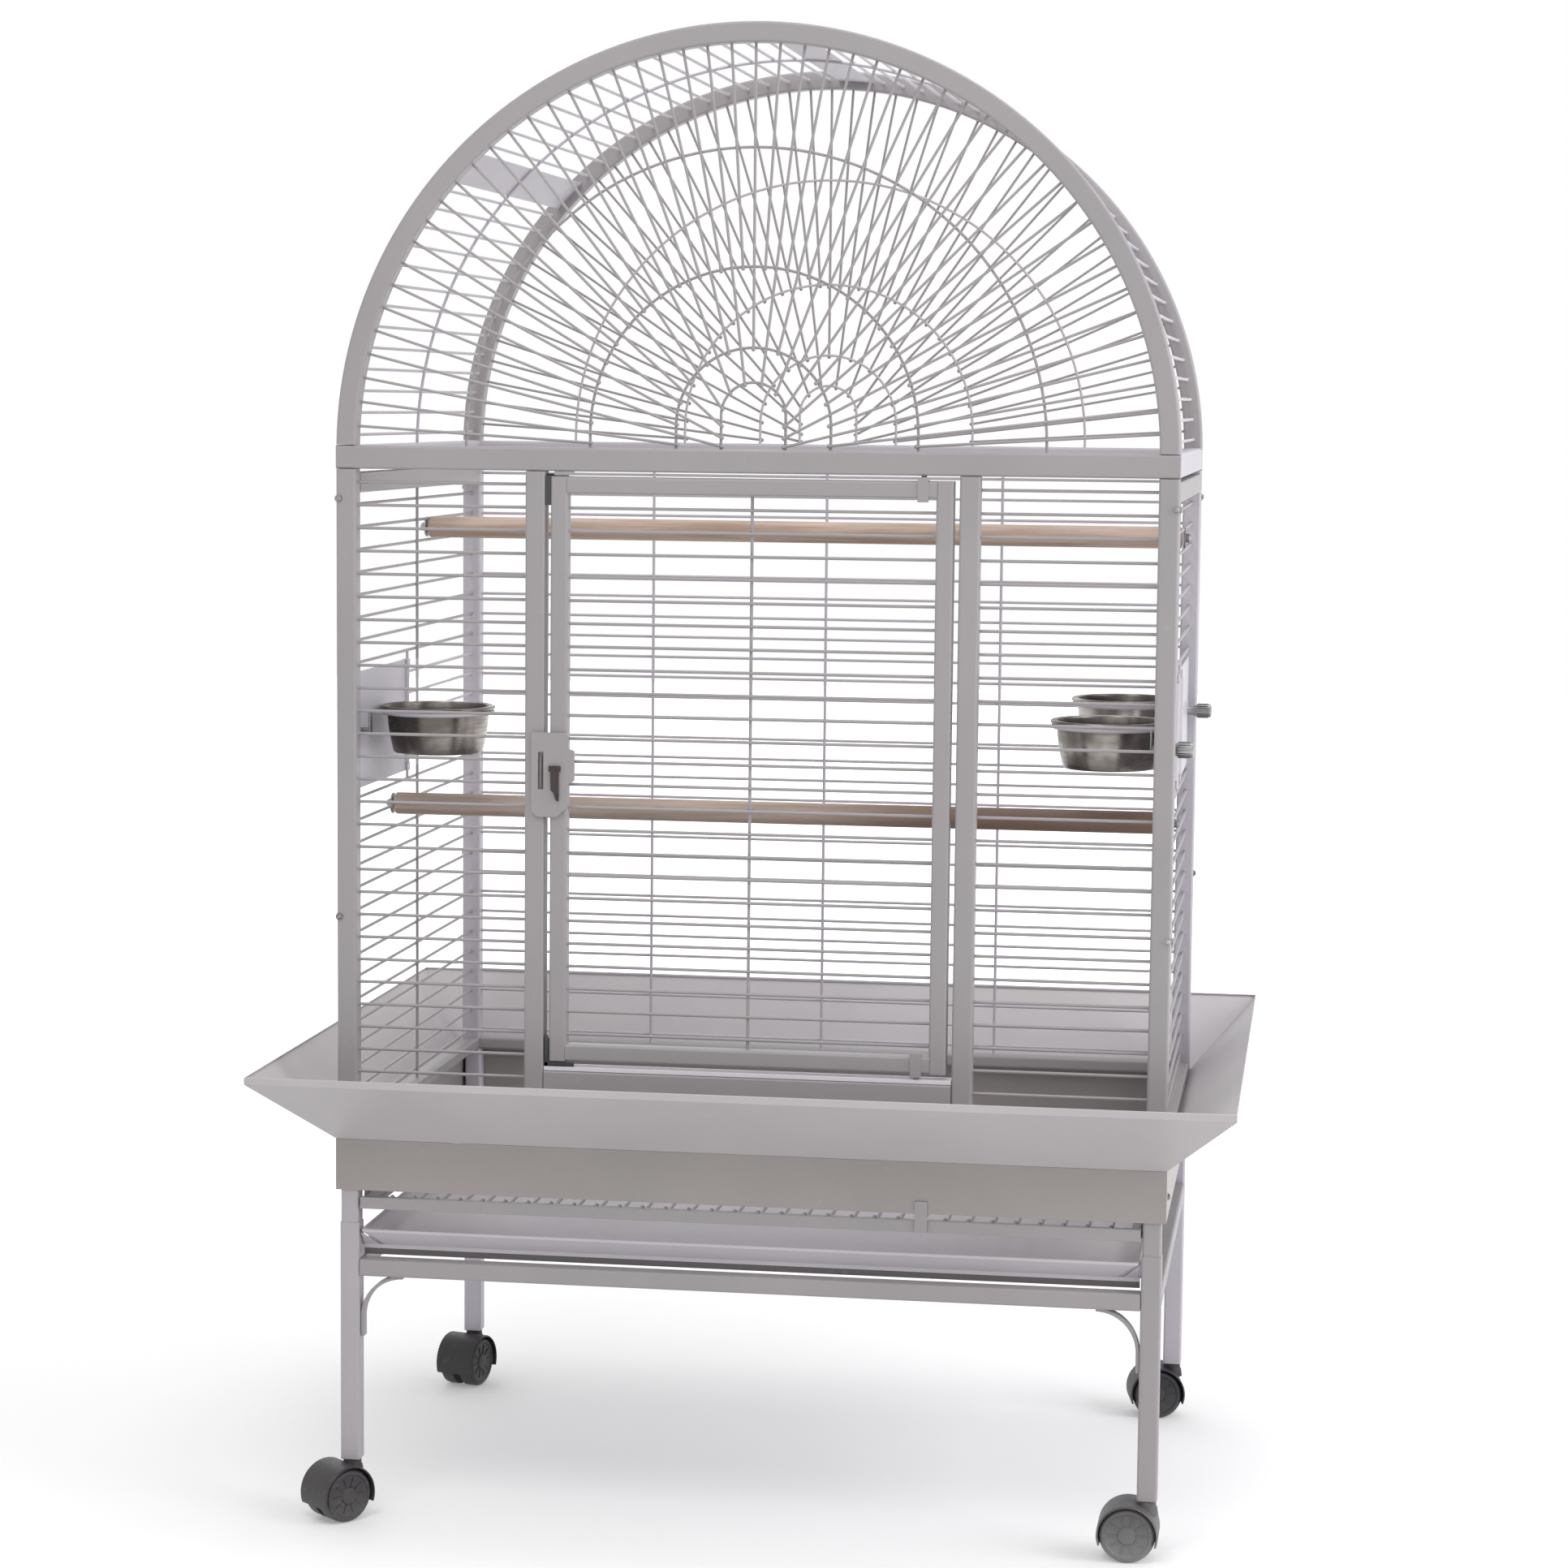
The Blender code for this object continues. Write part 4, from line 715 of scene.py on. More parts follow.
for name, side in wallSides.items():
    solid = bmesh.new()
    for near, far in ((innerWidth, cage["halfWidth"]), (jambInner, wall["jambOuter"])):
        addTube(solid, (side * near, side * far), frontDepth, (wallLow, wallHigh), 2)
    ends = sorted((side * (innerWidth + cage["sink"]), side * (wall["jambOuter"] - cage["sink"])))
    addTube(solid, ends, frontDepth, footHeights, 0)
    addBars(solid, (ends[0], -frontPlane), (ends[1], -frontPlane), cage["railTop"], cage["beamBottom"])
    if name == "left":
        # Two plates stop the door, and a tab stands over its top corner.
        stopY = frontFace + wall["doorTube"] + cage["seat"]
        under, over = wall["stopOver"]
        for low, high in ((wall["doorBottom"] - under, wall["doorBottom"] + wall["stopReach"]),
                          (wall["doorTop"] - wall["stopReach"], wall["doorTop"] + over)):
            addBlock(solid, (-jambInner - cage["sink"], stopY, low),
                     (-jambInner + wall["stopReach"], stopY + wall["stopThick"], high), eased["plate"])
        (left, right), (near, far) = wall["tabX"], wall["tabDepth"]
        addBlock(solid, (left - jambInner, frontFace + near, wall["doorTop"] + wall["tabRise"]),
                 (right - jambInner, frontFace + far, cage["beamBottom"]), eased["sheet"])
    makePiece("frontPanel." + name, solid, ["front_panel_" + name])

# The keeper that stands through the latch plate
keeper = {"inset": 0.003, "thick": 0.002, "tall": 0.034, "height": 0.844, "reach": 0.004}
solid = bmesh.new()
keeperX = -(jambInner + keeper["inset"])
keeperSpan, keeperTall = around(keeperX, keeper["thick"] / 2), around(keeper["height"], keeper["tall"] / 2)
addBlock(solid, *zip(keeperSpan, (frontFace - keeper["reach"], frontFace + cage["sink"]), keeperTall),
         eased["plate"])
makePiece("doorKeeper", solid, finish="keeper")

# Near-black blocks in the gap round the door: reach from the jamb, door edge, and height from that edge
bumper = {
    "depth": (0.001, 0.003),
    "blocks": ((0.0, 0.0078, "doorTop", -0.031, 0.001), (0.001, 0.005, "doorBottom", -0.006, 0.028),
               (0.001, 0.034, "doorBottom", -0.006, -0.0015)),
}
solid = bmesh.new()
near, far = bumper["depth"]
for left, right, edge, low, high in bumper["blocks"]:
    addBlock(solid, (left - jambInner, frontFace + near, wall[edge] + low),
             (right - jambInner, frontFace + far, wall[edge] + high), eased["plate"])
makePiece("doorGapBlocks", solid, finish="bumper")

solid = bmesh.new()
reach = jambInner - cage["seat"]
addTube(solid, (-reach, reach), frontDepth, (wall["sillLow"], wall["sillHigh"]), 0)
addTube(solid, (-reach, reach), frontDepth, footHeights, 0)
inset = reach - wire["diameter"] / 2
addBars(solid, (-inset, -frontPlane), (inset, -frontPlane), cage["railTop"], wall["sillLow"])
addRow(solid, (-inset, -frontPlane, cage["railTop"] - cage["sink"]),
       (-inset, -frontPlane, wall["sillLow"] + cage["sink"]), (inset, 0, 0), 3)
hinge = (wall["hingeX"], -doorPlane, 0)
addRod(solid, wall["hingePin"], wall["sillHigh"] - cage["sink"], wall["doorBottom"] + wall["pinReach"],
       hinge, upright, facets["hinge"])
makePiece("doorSill", solid, ["door_sill"])
# A near-white strip along the sill's top: a painted highlight for the bright line under the door
solid = bmesh.new()
addBlock(solid, (-reach, frontFace + wall["highlightInset"], wall["sillHigh"]),
         (reach, -innerDepth, wall["sillHigh"] + wall["highlightTall"]), eased["plate"])
makePiece("sillHighlight", solid, finish="strip")

solid = bmesh.new()
backDepth = (innerDepth, cage["halfDepth"])
for side in (-1, 1):
    addTube(solid, (side * innerWidth, side * cage["halfWidth"]), backDepth, (wallLow, wallHigh), 2)
reach = innerWidth + cage["sink"]
addBars(solid, (-reach, frontPlane), (reach, frontPlane), cage["railTop"], cage["beamBottom"])
uprightY = frontPlane - wire["diameter"]
addRow(solid, (-wall["backUprights"], uprightY, cage["railTop"] - cage["sink"]),
       (-wall["backUprights"], uprightY, wallHigh), (wall["backUprights"], 0, 0), 3)
makePiece("backPanel", solid, ["back_panel", "back_post_right"], "inner")
solid = bmesh.new()
addTube(solid, (-reach, reach), backDepth, footHeights, 0)
makePiece("backBaseTube", solid)

# Side walls, with the openings that the feeder doors close
feeder = {
    "hingeY": 0.045, "length": 0.230, "low": 0.815, "high": 0.945, "plate": 0.0015, "barrel": 0.0045,
    "pin": 0.002, "pinRoom": 0.0003, "jambOffset": 0.0075, "lug": 0.009, "lugHalf": 0.0035, "pinReach": 0.008,
    "barrelLap": 0.0008, "cupX": 0.37855, "cupY": 0.160, "cupTop": 0.902, "ringRadius": 0.0615,
    "ringWire": 0.005, "ringWeld": 0.0032, "ringZ": 0.8947, "armOffset": 0.030, "shaftInset": 0.013,
    "shaftZ": 0.880, "ends": {"left": [-1], "right": [-1, 1]},
}
grid = barHeights(cage["railTop"], cage["beamBottom"])
belowFeeder = max(height for height in grid if height < feeder["low"] - wire["diameter"] / 2)
aboveFeeder = min(height for height in grid if height > feeder["high"] + wire["diameter"] / 2)
lowerSplit = belowFeeder + cage["pitch"] / 2
upperSplit = aboveFeeder - cage["pitch"] / 2
uprightX = sidePlane - wire["diameter"] + cage["sink"]
sideRailHigh = wall["sideRailHigh"]
sideRailLow = sideRailHigh - wall["sideRailTall"]
jambY = feeder["hingeY"] - feeder["jambOffset"]
for name, side in wallSides.items():
    x = (side * innerWidth, side * cage["halfWidth"])
    wallX = side * sidePlane
    for part, rail, bars, span in (
            ("lower", footHeights, (cage["railTop"], lowerSplit + cage["barMargin"]),
             (cage["railTop"] - cage["sink"], lowerSplit - cage["seat"])),
            ("upper", (sideRailLow, sideRailHigh), (upperSplit - cage["barMargin"], sideRailLow),
             (upperSplit + cage["seat"], sideRailLow + cage["sink"]))):
        solid = bmesh.new()
        addTube(solid, x, (-sideReach, sideReach), rail, 1)
        addBars(solid, (wallX, -sideReach), (wallX, sideReach), *bars)
        addUpright(solid, side * uprightX, 0, *span)
        makePiece("sideWall." + name + "." + part, solid, ["side_wall_" + name + "_" + part])
    solid = bmesh.new()
    near, far = [end * (jambY if end in feeder["ends"][name] else sideReach) for end in (-1, 1)]
    addBars(solid, (wallX, near), (wallX, far), lowerSplit - cage["barMargin"], upperSplit + cage["barMargin"])
    addUpright(solid, side * uprightX, 0, lowerSplit, upperSplit)
    for end in feeder["ends"][name]:
        addUpright(solid, wallX, end * jambY, belowFeeder + wire["diameter"] / 2,
                   aboveFeeder - wire["diameter"] / 2)
        lugX = around(wallX, feeder["lugHalf"])
        lugY = (end * (jambY - cage["sink"]), end * (feeder["hingeY"] + feeder["lugHalf"]))
        for low, tip in ((feeder["low"], 1), (feeder["high"] - feeder["lug"], -1)):
            addBlock(solid, *zip(lugX, lugY, (low, low + feeder["lug"])), eased["bar"])
            middle = low + feeder["lug"] / 2
            pinEnds = sorted((middle, middle + tip * (feeder["lug"] / 2 + feeder["pinReach"])))
            addRod(solid, feeder["pin"], *pinEnds, (wallX, end * feeder["hingeY"], 0), upright, facets["pin"])
    makePiece("sideWall." + name + ".middle", solid, ["side_wall_" + name + "_middle"], "inner")
print("walls ready")

# Dome ends: arch tubes, spokes and rings
dome = {
    "gaps": 52, "radii": (0.035, 0.084, 0.178, 0.315), "rises": (0.042, 0.030, 0.022, 0.011),
    "archSteps": 96, "ringSteps": 64, "roundSteps": 4, "wire": 0.0031, "weld": 0.0026, "spokeLap": 0.0015,
    "flattest": 0.004, "straps": (136.5, 86.0, 43.5), "strapWide": 0.042, "strapThick": 0.0015,
    "strapSteps": 8, "hoopSteps": 30, "hoopLeast": 6,
}


def arcPoint(radius, angle, y, centre=cage["arcCentre"]):
    return (radius * math.cos(angle), y, centre + radius * math.sin(angle))


def ringReach(angle, index):
    # How far from the arc's centre a spoke meets a ring, on its straight leg or on its round top.
    radius = dome["radii"][index]
    rise = dome["rises"][index]
    leg = radius / max(abs(math.cos(angle)), dome["flattest"])
    if leg * math.sin(angle) < rise:
        return leg
    return rise * math.sin(angle) + math.sqrt(radius ** 2 - (rise * math.cos(angle)) ** 2)


def archSection():
    # Corners of the arch tube's section as (radius, depth) pairs.
    points = []
    rounding = cage["tubeRound"]
    for u, v, turn in ((cage["halfWidth"] - rounding, cage["halfDepth"] - rounding, 0),
                       (innerWidth + rounding, cage["halfDepth"] - rounding, 90),
                       (innerWidth + rounding, innerDepth + rounding, 180),
                       (cage["halfWidth"] - rounding, innerDepth + rounding, 270)):
        for step in range(dome["roundSteps"] + 1):
            angle = math.radians(turn + 90 * step / dome["roundSteps"])
            points.append((u + rounding * math.cos(angle), v + rounding * math.sin(angle)))
    return points


archStart = math.asin((cage["beamTop"] + cage["seat"] - cage["arcCentre"]) / innerWidth)
for name, end in wallEnds.items():
    solid = bmesh.new()
    loops = []
    for step in range(dome["archSteps"] + 1):
        angle = archStart + (math.pi - 2 * archStart) * step / dome["archSteps"]
        loops.append([arcPoint(radius, angle, end * depth) for radius, depth in archSection()])
    addLoft(solid, loops)
    spokes = []
    for count in range(1, dome["gaps"]):
        angle = math.pi * count / dome["gaps"]
        ring = 2 if count % 2 else 1 if count % 4 else 0
        spokes.append([arcPoint(radius, angle, end * frontPlane) for radius in (
            ringReach(angle, ring) - wire["diameter"] / 2, innerWidth + dome["spokeLap"])])
    addPaths(solid, spokes, dome["weld"], dome["wire"])
    makePiece("domeArch." + name, solid, ["dome_arch_" + name])

    solid = bmesh.new()
    addTube(solid, (-cage["halfWidth"], cage["halfWidth"]), (end * cage["halfDepth"], end * innerDepth),
            (cage["beamBottom"], cage["beamTop"]), 0)
    rings = []
    ringY = end * (frontPlane - wire["diameter"])
    foot = cage["beamTop"] - cage["sink"]
    for radius, rise in zip(dome["radii"], dome["rises"]):
        arc = [arcPoint(radius, math.pi * step / dome["ringSteps"], ringY, cage["arcCentre"] + rise)
               for step in range(dome["ringSteps"] + 1)]
        rings.append([(radius, ringY, foot), *arc, (-radius, ringY, foot)])
    addPaths(solid, rings, dome["weld"], dome["wire"])
    if name == "front":
        addRod(solid, wall["hingePin"], wall["doorTop"] - wall["pinReach"], cage["beamBottom"] + cage["sink"],
               hinge, upright, facets["hinge"])
    makePiece("beam." + name, solid, ["beam_" + name], "frame" if name == "front" else "inner")

# Roof: four sections of wires on a middle hoop, joined under three wide straps
hoopRadius = uprightX
strapRadius = hoopRadius + cage["sink"]
strapHalf = math.asin(dome["strapWide"] / 2 / hoopRadius)
seam = cage["seat"] / hoopRadius
sinkAngle = (cage["beamTop"] - cage["sink"] - cage["arcCentre"]) / hoopRadius
leftStrap, topStrap, rightStrap = [math.radians(angle) for angle in dome["straps"]]


def addRoofWires(solid, start, finish):
    count = math.floor((finish - start) * sidePlane / cage["pitch"] + 0.5)
    wires = []
    for step in range(count):
        angle = start + (finish - start) * (step + 0.5) / count
        wires.append([arcPoint(sidePlane, angle, -sideReach), arcPoint(sidePlane, angle, sideReach)])
    addPaths(solid, wires, dome["weld"])


def addStrap(solid, middle):
    # A rolled strap that follows the roof's curve.
    steps = dome["strapSteps"]
    angles = [middle + strapHalf * (2 * step / steps - 1) for step in range(steps + 1)]
    section = [arcPoint(strapRadius, angle, 0) for angle in angles]
    section += [arcPoint(strapRadius + dome["strapThick"], angle, 0) for angle in reversed(angles)]
    addLoft(solid, [[(x, y, z) for x, _, z in section] for y in (-sideReach, sideReach)])


for name, hoopStart, hoopEnd, wiresStart, wiresEnd, strap, railSide in (
        ("right_lower", sinkAngle, rightStrap + strapHalf, sinkAngle, rightStrap - strapHalf, rightStrap, 1),
        ("right_upper", rightStrap + strapHalf + seam, topStrap + strapHalf, rightStrap + strapHalf,
         topStrap - strapHalf, topStrap, 0),
        ("left_upper", topStrap + strapHalf + seam, leftStrap - strapHalf - seam, topStrap + strapHalf,
         leftStrap - strapHalf, None, 0),
        ("left_lower", leftStrap - strapHalf, math.pi - sinkAngle, leftStrap + strapHalf, math.pi - sinkAngle,
         leftStrap, -1)):
    solid = bmesh.new()
    steps = max(dome["hoopLeast"], round((hoopEnd - hoopStart) * dome["hoopSteps"]))
    addPaths(solid, [[arcPoint(hoopRadius, hoopStart + (hoopEnd - hoopStart) * step / steps, 0)
                      for step in range(steps + 1)]], 0.0)
    addRoofWires(solid, wiresStart, wiresEnd)
    if strap is not None:
        addStrap(solid, strap)
    if railSide:
        addTube(solid, (railSide * innerWidth, railSide * cage["halfWidth"]), (-sideReach, sideReach),
                (cage["beamBottom"], cage["beamTop"]), 1)
    makePiece("roof." + name, solid, ["roof_" + name], "inner")
print("dome and roof ready")

# Perches
perches = {
    "radius": 0.0125, "ease": 0.0015, "easeShare": 0.3, "steps": 40,
    "spots": {"upper": (0.065, 1.095, "perch"), "lower": (-0.095, 0.782, "lowPerch")},
    "bolts": {"Head Width": 0.010, "Head Height": 0.005, "Washer Width": 0.024, "Washer Height": 0.0016,
              "Sides": 6},
}
reach = sidePlane - wire["diameter"] / 2 - cage["seat"]
radius, ease = perches["radius"], perches["ease"]
corner = ease * perches["easeShare"]
end = [(0, reach), (radius - ease, reach), (radius - corner, reach - corner), (radius, reach - ease)]
places = []
for name, (y, height, finish) in perches["spots"].items():
    solid = bmesh.new()
    addTurned(solid, [(wide, -along) for wide, along in end] + end[::-1], (0, y, height), (1, 0, 0),
              perches["steps"])
    makePiece("perch." + name, solid, ["perch_" + name], finish, sharp=30)
    places += [((side * (sidePlane + wire["diameter"] / 2), y, height), (side, 0, 0)) for side in (-1, 1)]
addBolts("perchBolts", places, perches["bolts"])

# Door
door = {
    "half": 0.2185, "rail": 0.0185, "boreHalf": 0.0036, "boreWall": 0.0025, "boreOver": 0.0008,
    "tabHalf": 0.006, "tabThick": 0.0012, "tabOver": 0.004,
}
solid = bmesh.new()
doorDepth = (frontFace, frontFace + wall["doorTube"])
stileInner = door["half"] - wall["doorTube"]
doorSpan = (wall["doorBottom"], wall["doorTop"])
railSpans = ((wall["doorBottom"], wall["doorBottom"] + door["rail"]),
             (wall["doorTop"] - door["rail"], wall["doorTop"]))
for side in (-1, 1):
    addTube(solid, (side * stileInner, side * door["half"]), doorDepth, doorSpan, 2)
railEnds = around(0, stileInner + cage["sink"])
for low, high in railSpans:
    addTube(solid, railEnds, doorDepth, (low, high), 0)
    addSleeve(solid, door["boreHalf"], door["boreHalf"] + door["boreWall"], low - door["boreOver"],
              high + door["boreOver"], hinge, facets["bore"])
    addBlock(solid, *zip(around(wall["hingeX"], door["tabHalf"]),
                         (frontFace - door["tabThick"], frontFace + cage["sink"]),
                         (low - door["tabOver"], high + door["tabOver"])), eased["tab"])
(_, low), (high, _) = railSpans
addBars(solid, (railEnds[0], -doorPlane), (railEnds[1], -doorPlane), low, high)
addUpright(solid, 0, wire["diameter"] - doorPlane, low - cage["sink"], high + cage["sink"], wire["weld"])
makePiece("doorFrame", solid, ["door_frame"])

# The latch plate with its slot for the keeper, and the lever
latch = {
    "lap": 0.0135, "overhang": 0.009, "top": 0.887, "bottom": 0.795, "thick": 0.004, "corner": 0.012,
    "bulgeWide": 0.007, "bulgeHigh": (0.868, 0.869), "bulgeLow": (0.832, 0.834), "softness": 0.0035,
    "softLimit": 2.2, "softSteps": 5, "outlineStep": 0.0015, "slotRoom": 0.002, "slotHeight": 0.8455,
    "slotTall": 0.0205,
}
plateBack = frontFace - cage["seat"]
left = -(jambInner + latch["lap"])
right = latch["overhang"] - stileInner
straight = right - latch["bulgeWide"]
corner = latch["corner"]
bottom = latch["bottom"]
outline = [(left, latch["top"]), (straight, latch["top"]), (straight, latch["bulgeHigh"][1]),
           (right, latch["bulgeHigh"][0]), (right, latch["bulgeLow"][1]), (straight, latch["bulgeLow"][0]),
           (straight, bottom + corner), (straight - corner, bottom), (left + corner / 2, bottom),
           (left, bottom + corner / 2)]


def softened(points):
    # Rounds a flat outline's corners.
    smooth = []
    for at, point in enumerate(points):
        here = Vector(point)
        ends = []
        for neighbour in (Vector(points[at - 1]), Vector(points[(at + 1) % len(points)])):
            toward = neighbour - here
            cut = min(latch["softness"], toward.length / latch["softLimit"])
            ends.append(here + toward.normalized() * cut)
        for step in range(latch["softSteps"] + 1):
            share = step / latch["softSteps"]
            smooth.append(ends[0] * (1 - share) ** 2 + here * 2 * share * (1 - share) + ends[1] * share ** 2)
    return smooth


def divided(points):
    # Sets a point at every small step of the outline, which keeps the slot's corners nearly square.
    dense = []
    for at, point in enumerate(points):
        following = points[(at + 1) % len(points)]
        parts = max(1, math.ceil((following - point).length / latch["outlineStep"]))
        dense += [point.lerp(following, step / parts) for step in range(parts)]
    return dense


def addPlateWithSlot(solid, outer, middle, halfWide, halfTall):
    # A flat plate with one four-cornered hole, both rings joined face by face.
    made = bmesh.new()
    inner = []
    for point in outer:
        ray = point - middle
        inner.append(middle + ray * min(halfWide / max(abs(ray.x), 1e-6), halfTall / max(abs(ray.y), 1e-6)))
    rings = [[made.verts.new((point.x, depth, point.y)) for point in ring]
             for ring, depth in ((outer, plateBack), (inner, plateBack), (inner, plateBack - latch["thick"]),
                                 (outer, plateBack - latch["thick"]))]
    for near, far in zip(rings, rings[1:] + rings[:1]):
        for at in range(len(outer)):
            after = (at + 1) % len(outer)
            made.faces.new((near[at], near[after], far[after], far[at]))
    bmesh.ops.recalc_face_normals(made, faces=made.faces)
    addBmesh(solid, made)


solid = bmesh.new()
addPlateWithSlot(solid, divided(softened(outline)), Vector((keeperX, latch["slotHeight"])),
                 keeper["thick"] / 2 + latch["slotRoom"], latch["slotTall"])
makePiece("doorLatchPlate", solid, ["door_latch_plate"], sharp=40)

lever = {
    "x": -0.21185, "z": 0.848, "thick": 0.0034, "pin": 0.003, "pinLong": 0.004,
    "outline": ((-0.0065, 0.003), (0.0065, 0.003), (0.0065, -0.003), (0.0045, -0.003),
                (0.0045, -0.0355), (0.0018, -0.0345), (-0.0012, -0.0255), (-0.0042, -0.0235),
                (-0.0045, -0.003), (-0.0065, -0.003)),
    "rivet": ((0, 0), (0.0026, 0), (0.0022, 0.0010), (0, 0.0013)),
}
solid = bmesh.new()
near = plateBack - latch["thick"] - cage["seat"]
addExtruded(solid, [(lever["x"] + x, near, lever["z"] + z) for x, z in lever["outline"]],
            (0, -lever["thick"], 0), eased["bar"])
addRod(solid, lever["pin"], 0, lever["pinLong"], (lever["x"], near, lever["z"]), (0, 1, 0), facets["bore"])
addTurned(solid, lever["rivet"], (lever["x"], near - lever["thick"], lever["z"]), (0, -1, 0), facets["bore"])
makePiece("doorLever", solid, ["door_latch_lever"], "latchSteel", sharp=40)
print("perches and door ready")

# Feeder doors, their latches and the cups; the knob's profiles start at the door and at the knob's end
knob = {
    "shaft": 0.004, "reach": {-1: 0.0165, 1: 0.029}, "steps": 36,
    "neck": ((0.00558, 0), (0.00495, 0.006), (0.0063, 0.009), (0.0075, 0.011)),
    "cap": ((0.0084, -0.003), (0.0076, -0.0008), (0.0054, 0), (0, 0)),
    "ribs": {"Count": 18, "Radius": 0.0082, "Rib Size": (0.0016, 0.0016, 0.013)}, "ribInset": 0.0105,
    "tongueLong": 0.024, "tongueHalf": 0.005, "tongueThick": 0.002, "tongueClear": 0.004,
}
cup = {
    "wall": 0.0575, "base": 0.0505, "height": 0.053, "rim": 0.0645, "rimTall": 0.0045, "sheet": 0.0014,
    "foot": 0.0015, "hollow": 0.0012, "bulge": 0.00132, "wallSteps": 8, "rimSteps": 6,
    "rimTuck": (0.001, 0.0006), "insets": (0.006, 0.004, 0.0015), "steps": 72,
}


def cupProfile():
    # (radius, height) pairs from the middle of the foot up the outside, round the rim and down the inside.
    base = feeder["cupTop"] - cup["height"]
    start = base + cup["foot"]
    rise = feeder["cupTop"] - cup["rimTall"] - start
    sheet = cup["sheet"]
    hollow, foot, edge = [cup["base"] - inset for inset in cup["insets"]]
    outside = []
    for step in range(1, cup["wallSteps"] + 1):
        share = step / cup["wallSteps"]
        straight = cup["base"] + (cup["wall"] - cup["base"]) * share
        outside.append((straight + cup["bulge"] * math.sin(math.pi * share), start + rise * share))
    rolled = cup["rimTall"] / 2
    rim = []
    for step in range(cup["rimSteps"] + 1):
        angle = math.radians(-90 + 180 * step / cup["rimSteps"])
        rim.append((cup["rim"] - rolled + rolled * math.cos(angle),
                    feeder["cupTop"] - rolled + rolled * math.sin(angle)))
    inward, down = cup["rimTuck"]
    rim.append((cup["wall"] - sheet + inward, feeder["cupTop"] - down))
    inside = [(radius - sheet, height + sheet) for radius, height in reversed(outside)]
    return [(0, base + cup["hollow"]), (hollow, base + cup["hollow"]), (foot, base), (edge, base),
            (cup["base"], start), *outside, *rim, *inside, (foot, base + sheet + cup["hollow"]),
            (0, base + sheet + cup["hollow"])]


for wallName in feeder["ends"]:
    for end in feeder["ends"][wallName]:
        name = wallName + ("_front" if end < 0 else "_back")
        side = wallSides[wallName]
        x = side * sidePlane
        cupX, cupY = side * feeder["cupX"], end * feeder["cupY"]
        solid = bmesh.new()
        low = feeder["low"] + feeder["lug"] + cage["seat"]
        high = feeder["high"] - feeder["lug"] - cage["seat"]
        tip = end * (feeder["hingeY"] + feeder["length"])
        notch = end * (feeder["hingeY"] + feeder["barrel"] + cage["sink"])
        near = end * (feeder["hingeY"] + feeder["barrel"] - feeder["barrelLap"])
        shape = [(tip, feeder["low"]), (tip, feeder["high"]), (notch, feeder["high"]), (notch, high),
                 (near, high), (near, low), (notch, low), (notch, feeder["low"])]
        addExtruded(solid, [(x - feeder["plate"] / 2, y, z) for y, z in shape], (feeder["plate"], 0, 0),
                    eased["sheet"])
        addSleeve(solid, feeder["pin"] + feeder["pinRoom"], feeder["barrel"], low, high,
                  (x, end * feeder["hingeY"], 0), facets["sleeve"])
        ring = [(feeder["ringRadius"] + feeder["ringWire"] / 2 * math.cos(math.tau * step / wire["sides"]),
                 feeder["ringZ"] + feeder["ringWire"] / 2 * math.sin(math.tau * step / wire["sides"]))
                for step in range(wire["sides"])]
        addTurned(solid, ring, (cupX, cupY, 0), upright, facets["ring"], closed=True)
        arms = []
        for offset in (-feeder["armOffset"], feeder["armOffset"]):
            ringX = side * (feeder["cupX"] + math.sqrt(feeder["ringRadius"] ** 2 - offset ** 2))
            arms.append([(ringX, cupY + offset, feeder["ringZ"]), (x, cupY + offset, feeder["ringZ"])])
        addPaths(solid, arms, feeder["ringWeld"], feeder["ringWire"])
        makePiece("feederDoor." + name, solid, ["feeder_door_" + name], "inner", sharp=40)

        solid = bmesh.new()
        outer = sidePlane + feeder["plate"] / 2
        inner = innerWidth - knob["tongueClear"]
        start = outer + cage["seat"]
        full = outer + knob["reach"][side]
        shaftY = end * (feeder["hingeY"] + feeder["length"] - feeder["shaftInset"])
        shaftLow = inner - knob["tongueThick"] / 2
        addTurned(solid, [(0, shaftLow), (knob["shaft"], shaftLow), (knob["shaft"], start),
                          *[(radius, start + along) for radius, along in knob["neck"]],
                          *[(radius, full + along) for radius, along in knob["cap"]]],
                  (0, shaftY, feeder["shaftZ"]), (side, 0, 0), knob["steps"])
        ribs = runTree(trees["ribs"], emptyMesh, "knobSteel", knob["ribs"])
        ribs.transform(Matrix.Translation((side * (full - knob["ribInset"]), shaftY, feeder["shaftZ"]))
                       @ Matrix.Rotation(math.pi / 2, 4, "Y"))
        solid.from_mesh(ribs)
        addBlock(solid, (side * inner, shaftY - knob["tongueHalf"], feeder["shaftZ"] - knob["tongueHalf"]),
                 (side * (inner - knob["tongueThick"]), shaftY + knob["tongueHalf"],
                  feeder["shaftZ"] + knob["tongueLong"]), eased["tab"])
        makePiece("feederLatch." + name, solid, ["feeder_latch_" + name], "knobSteel", sharp=35)

        solid = bmesh.new()
        addTurned(solid, cupProfile(), (cupX, cupY, 0), upright, cup["steps"])
        makePiece("feederCup." + name, solid, ["feeder_cup_" + name], "cupSteel", sharp=60)
print("feeders and cups ready")

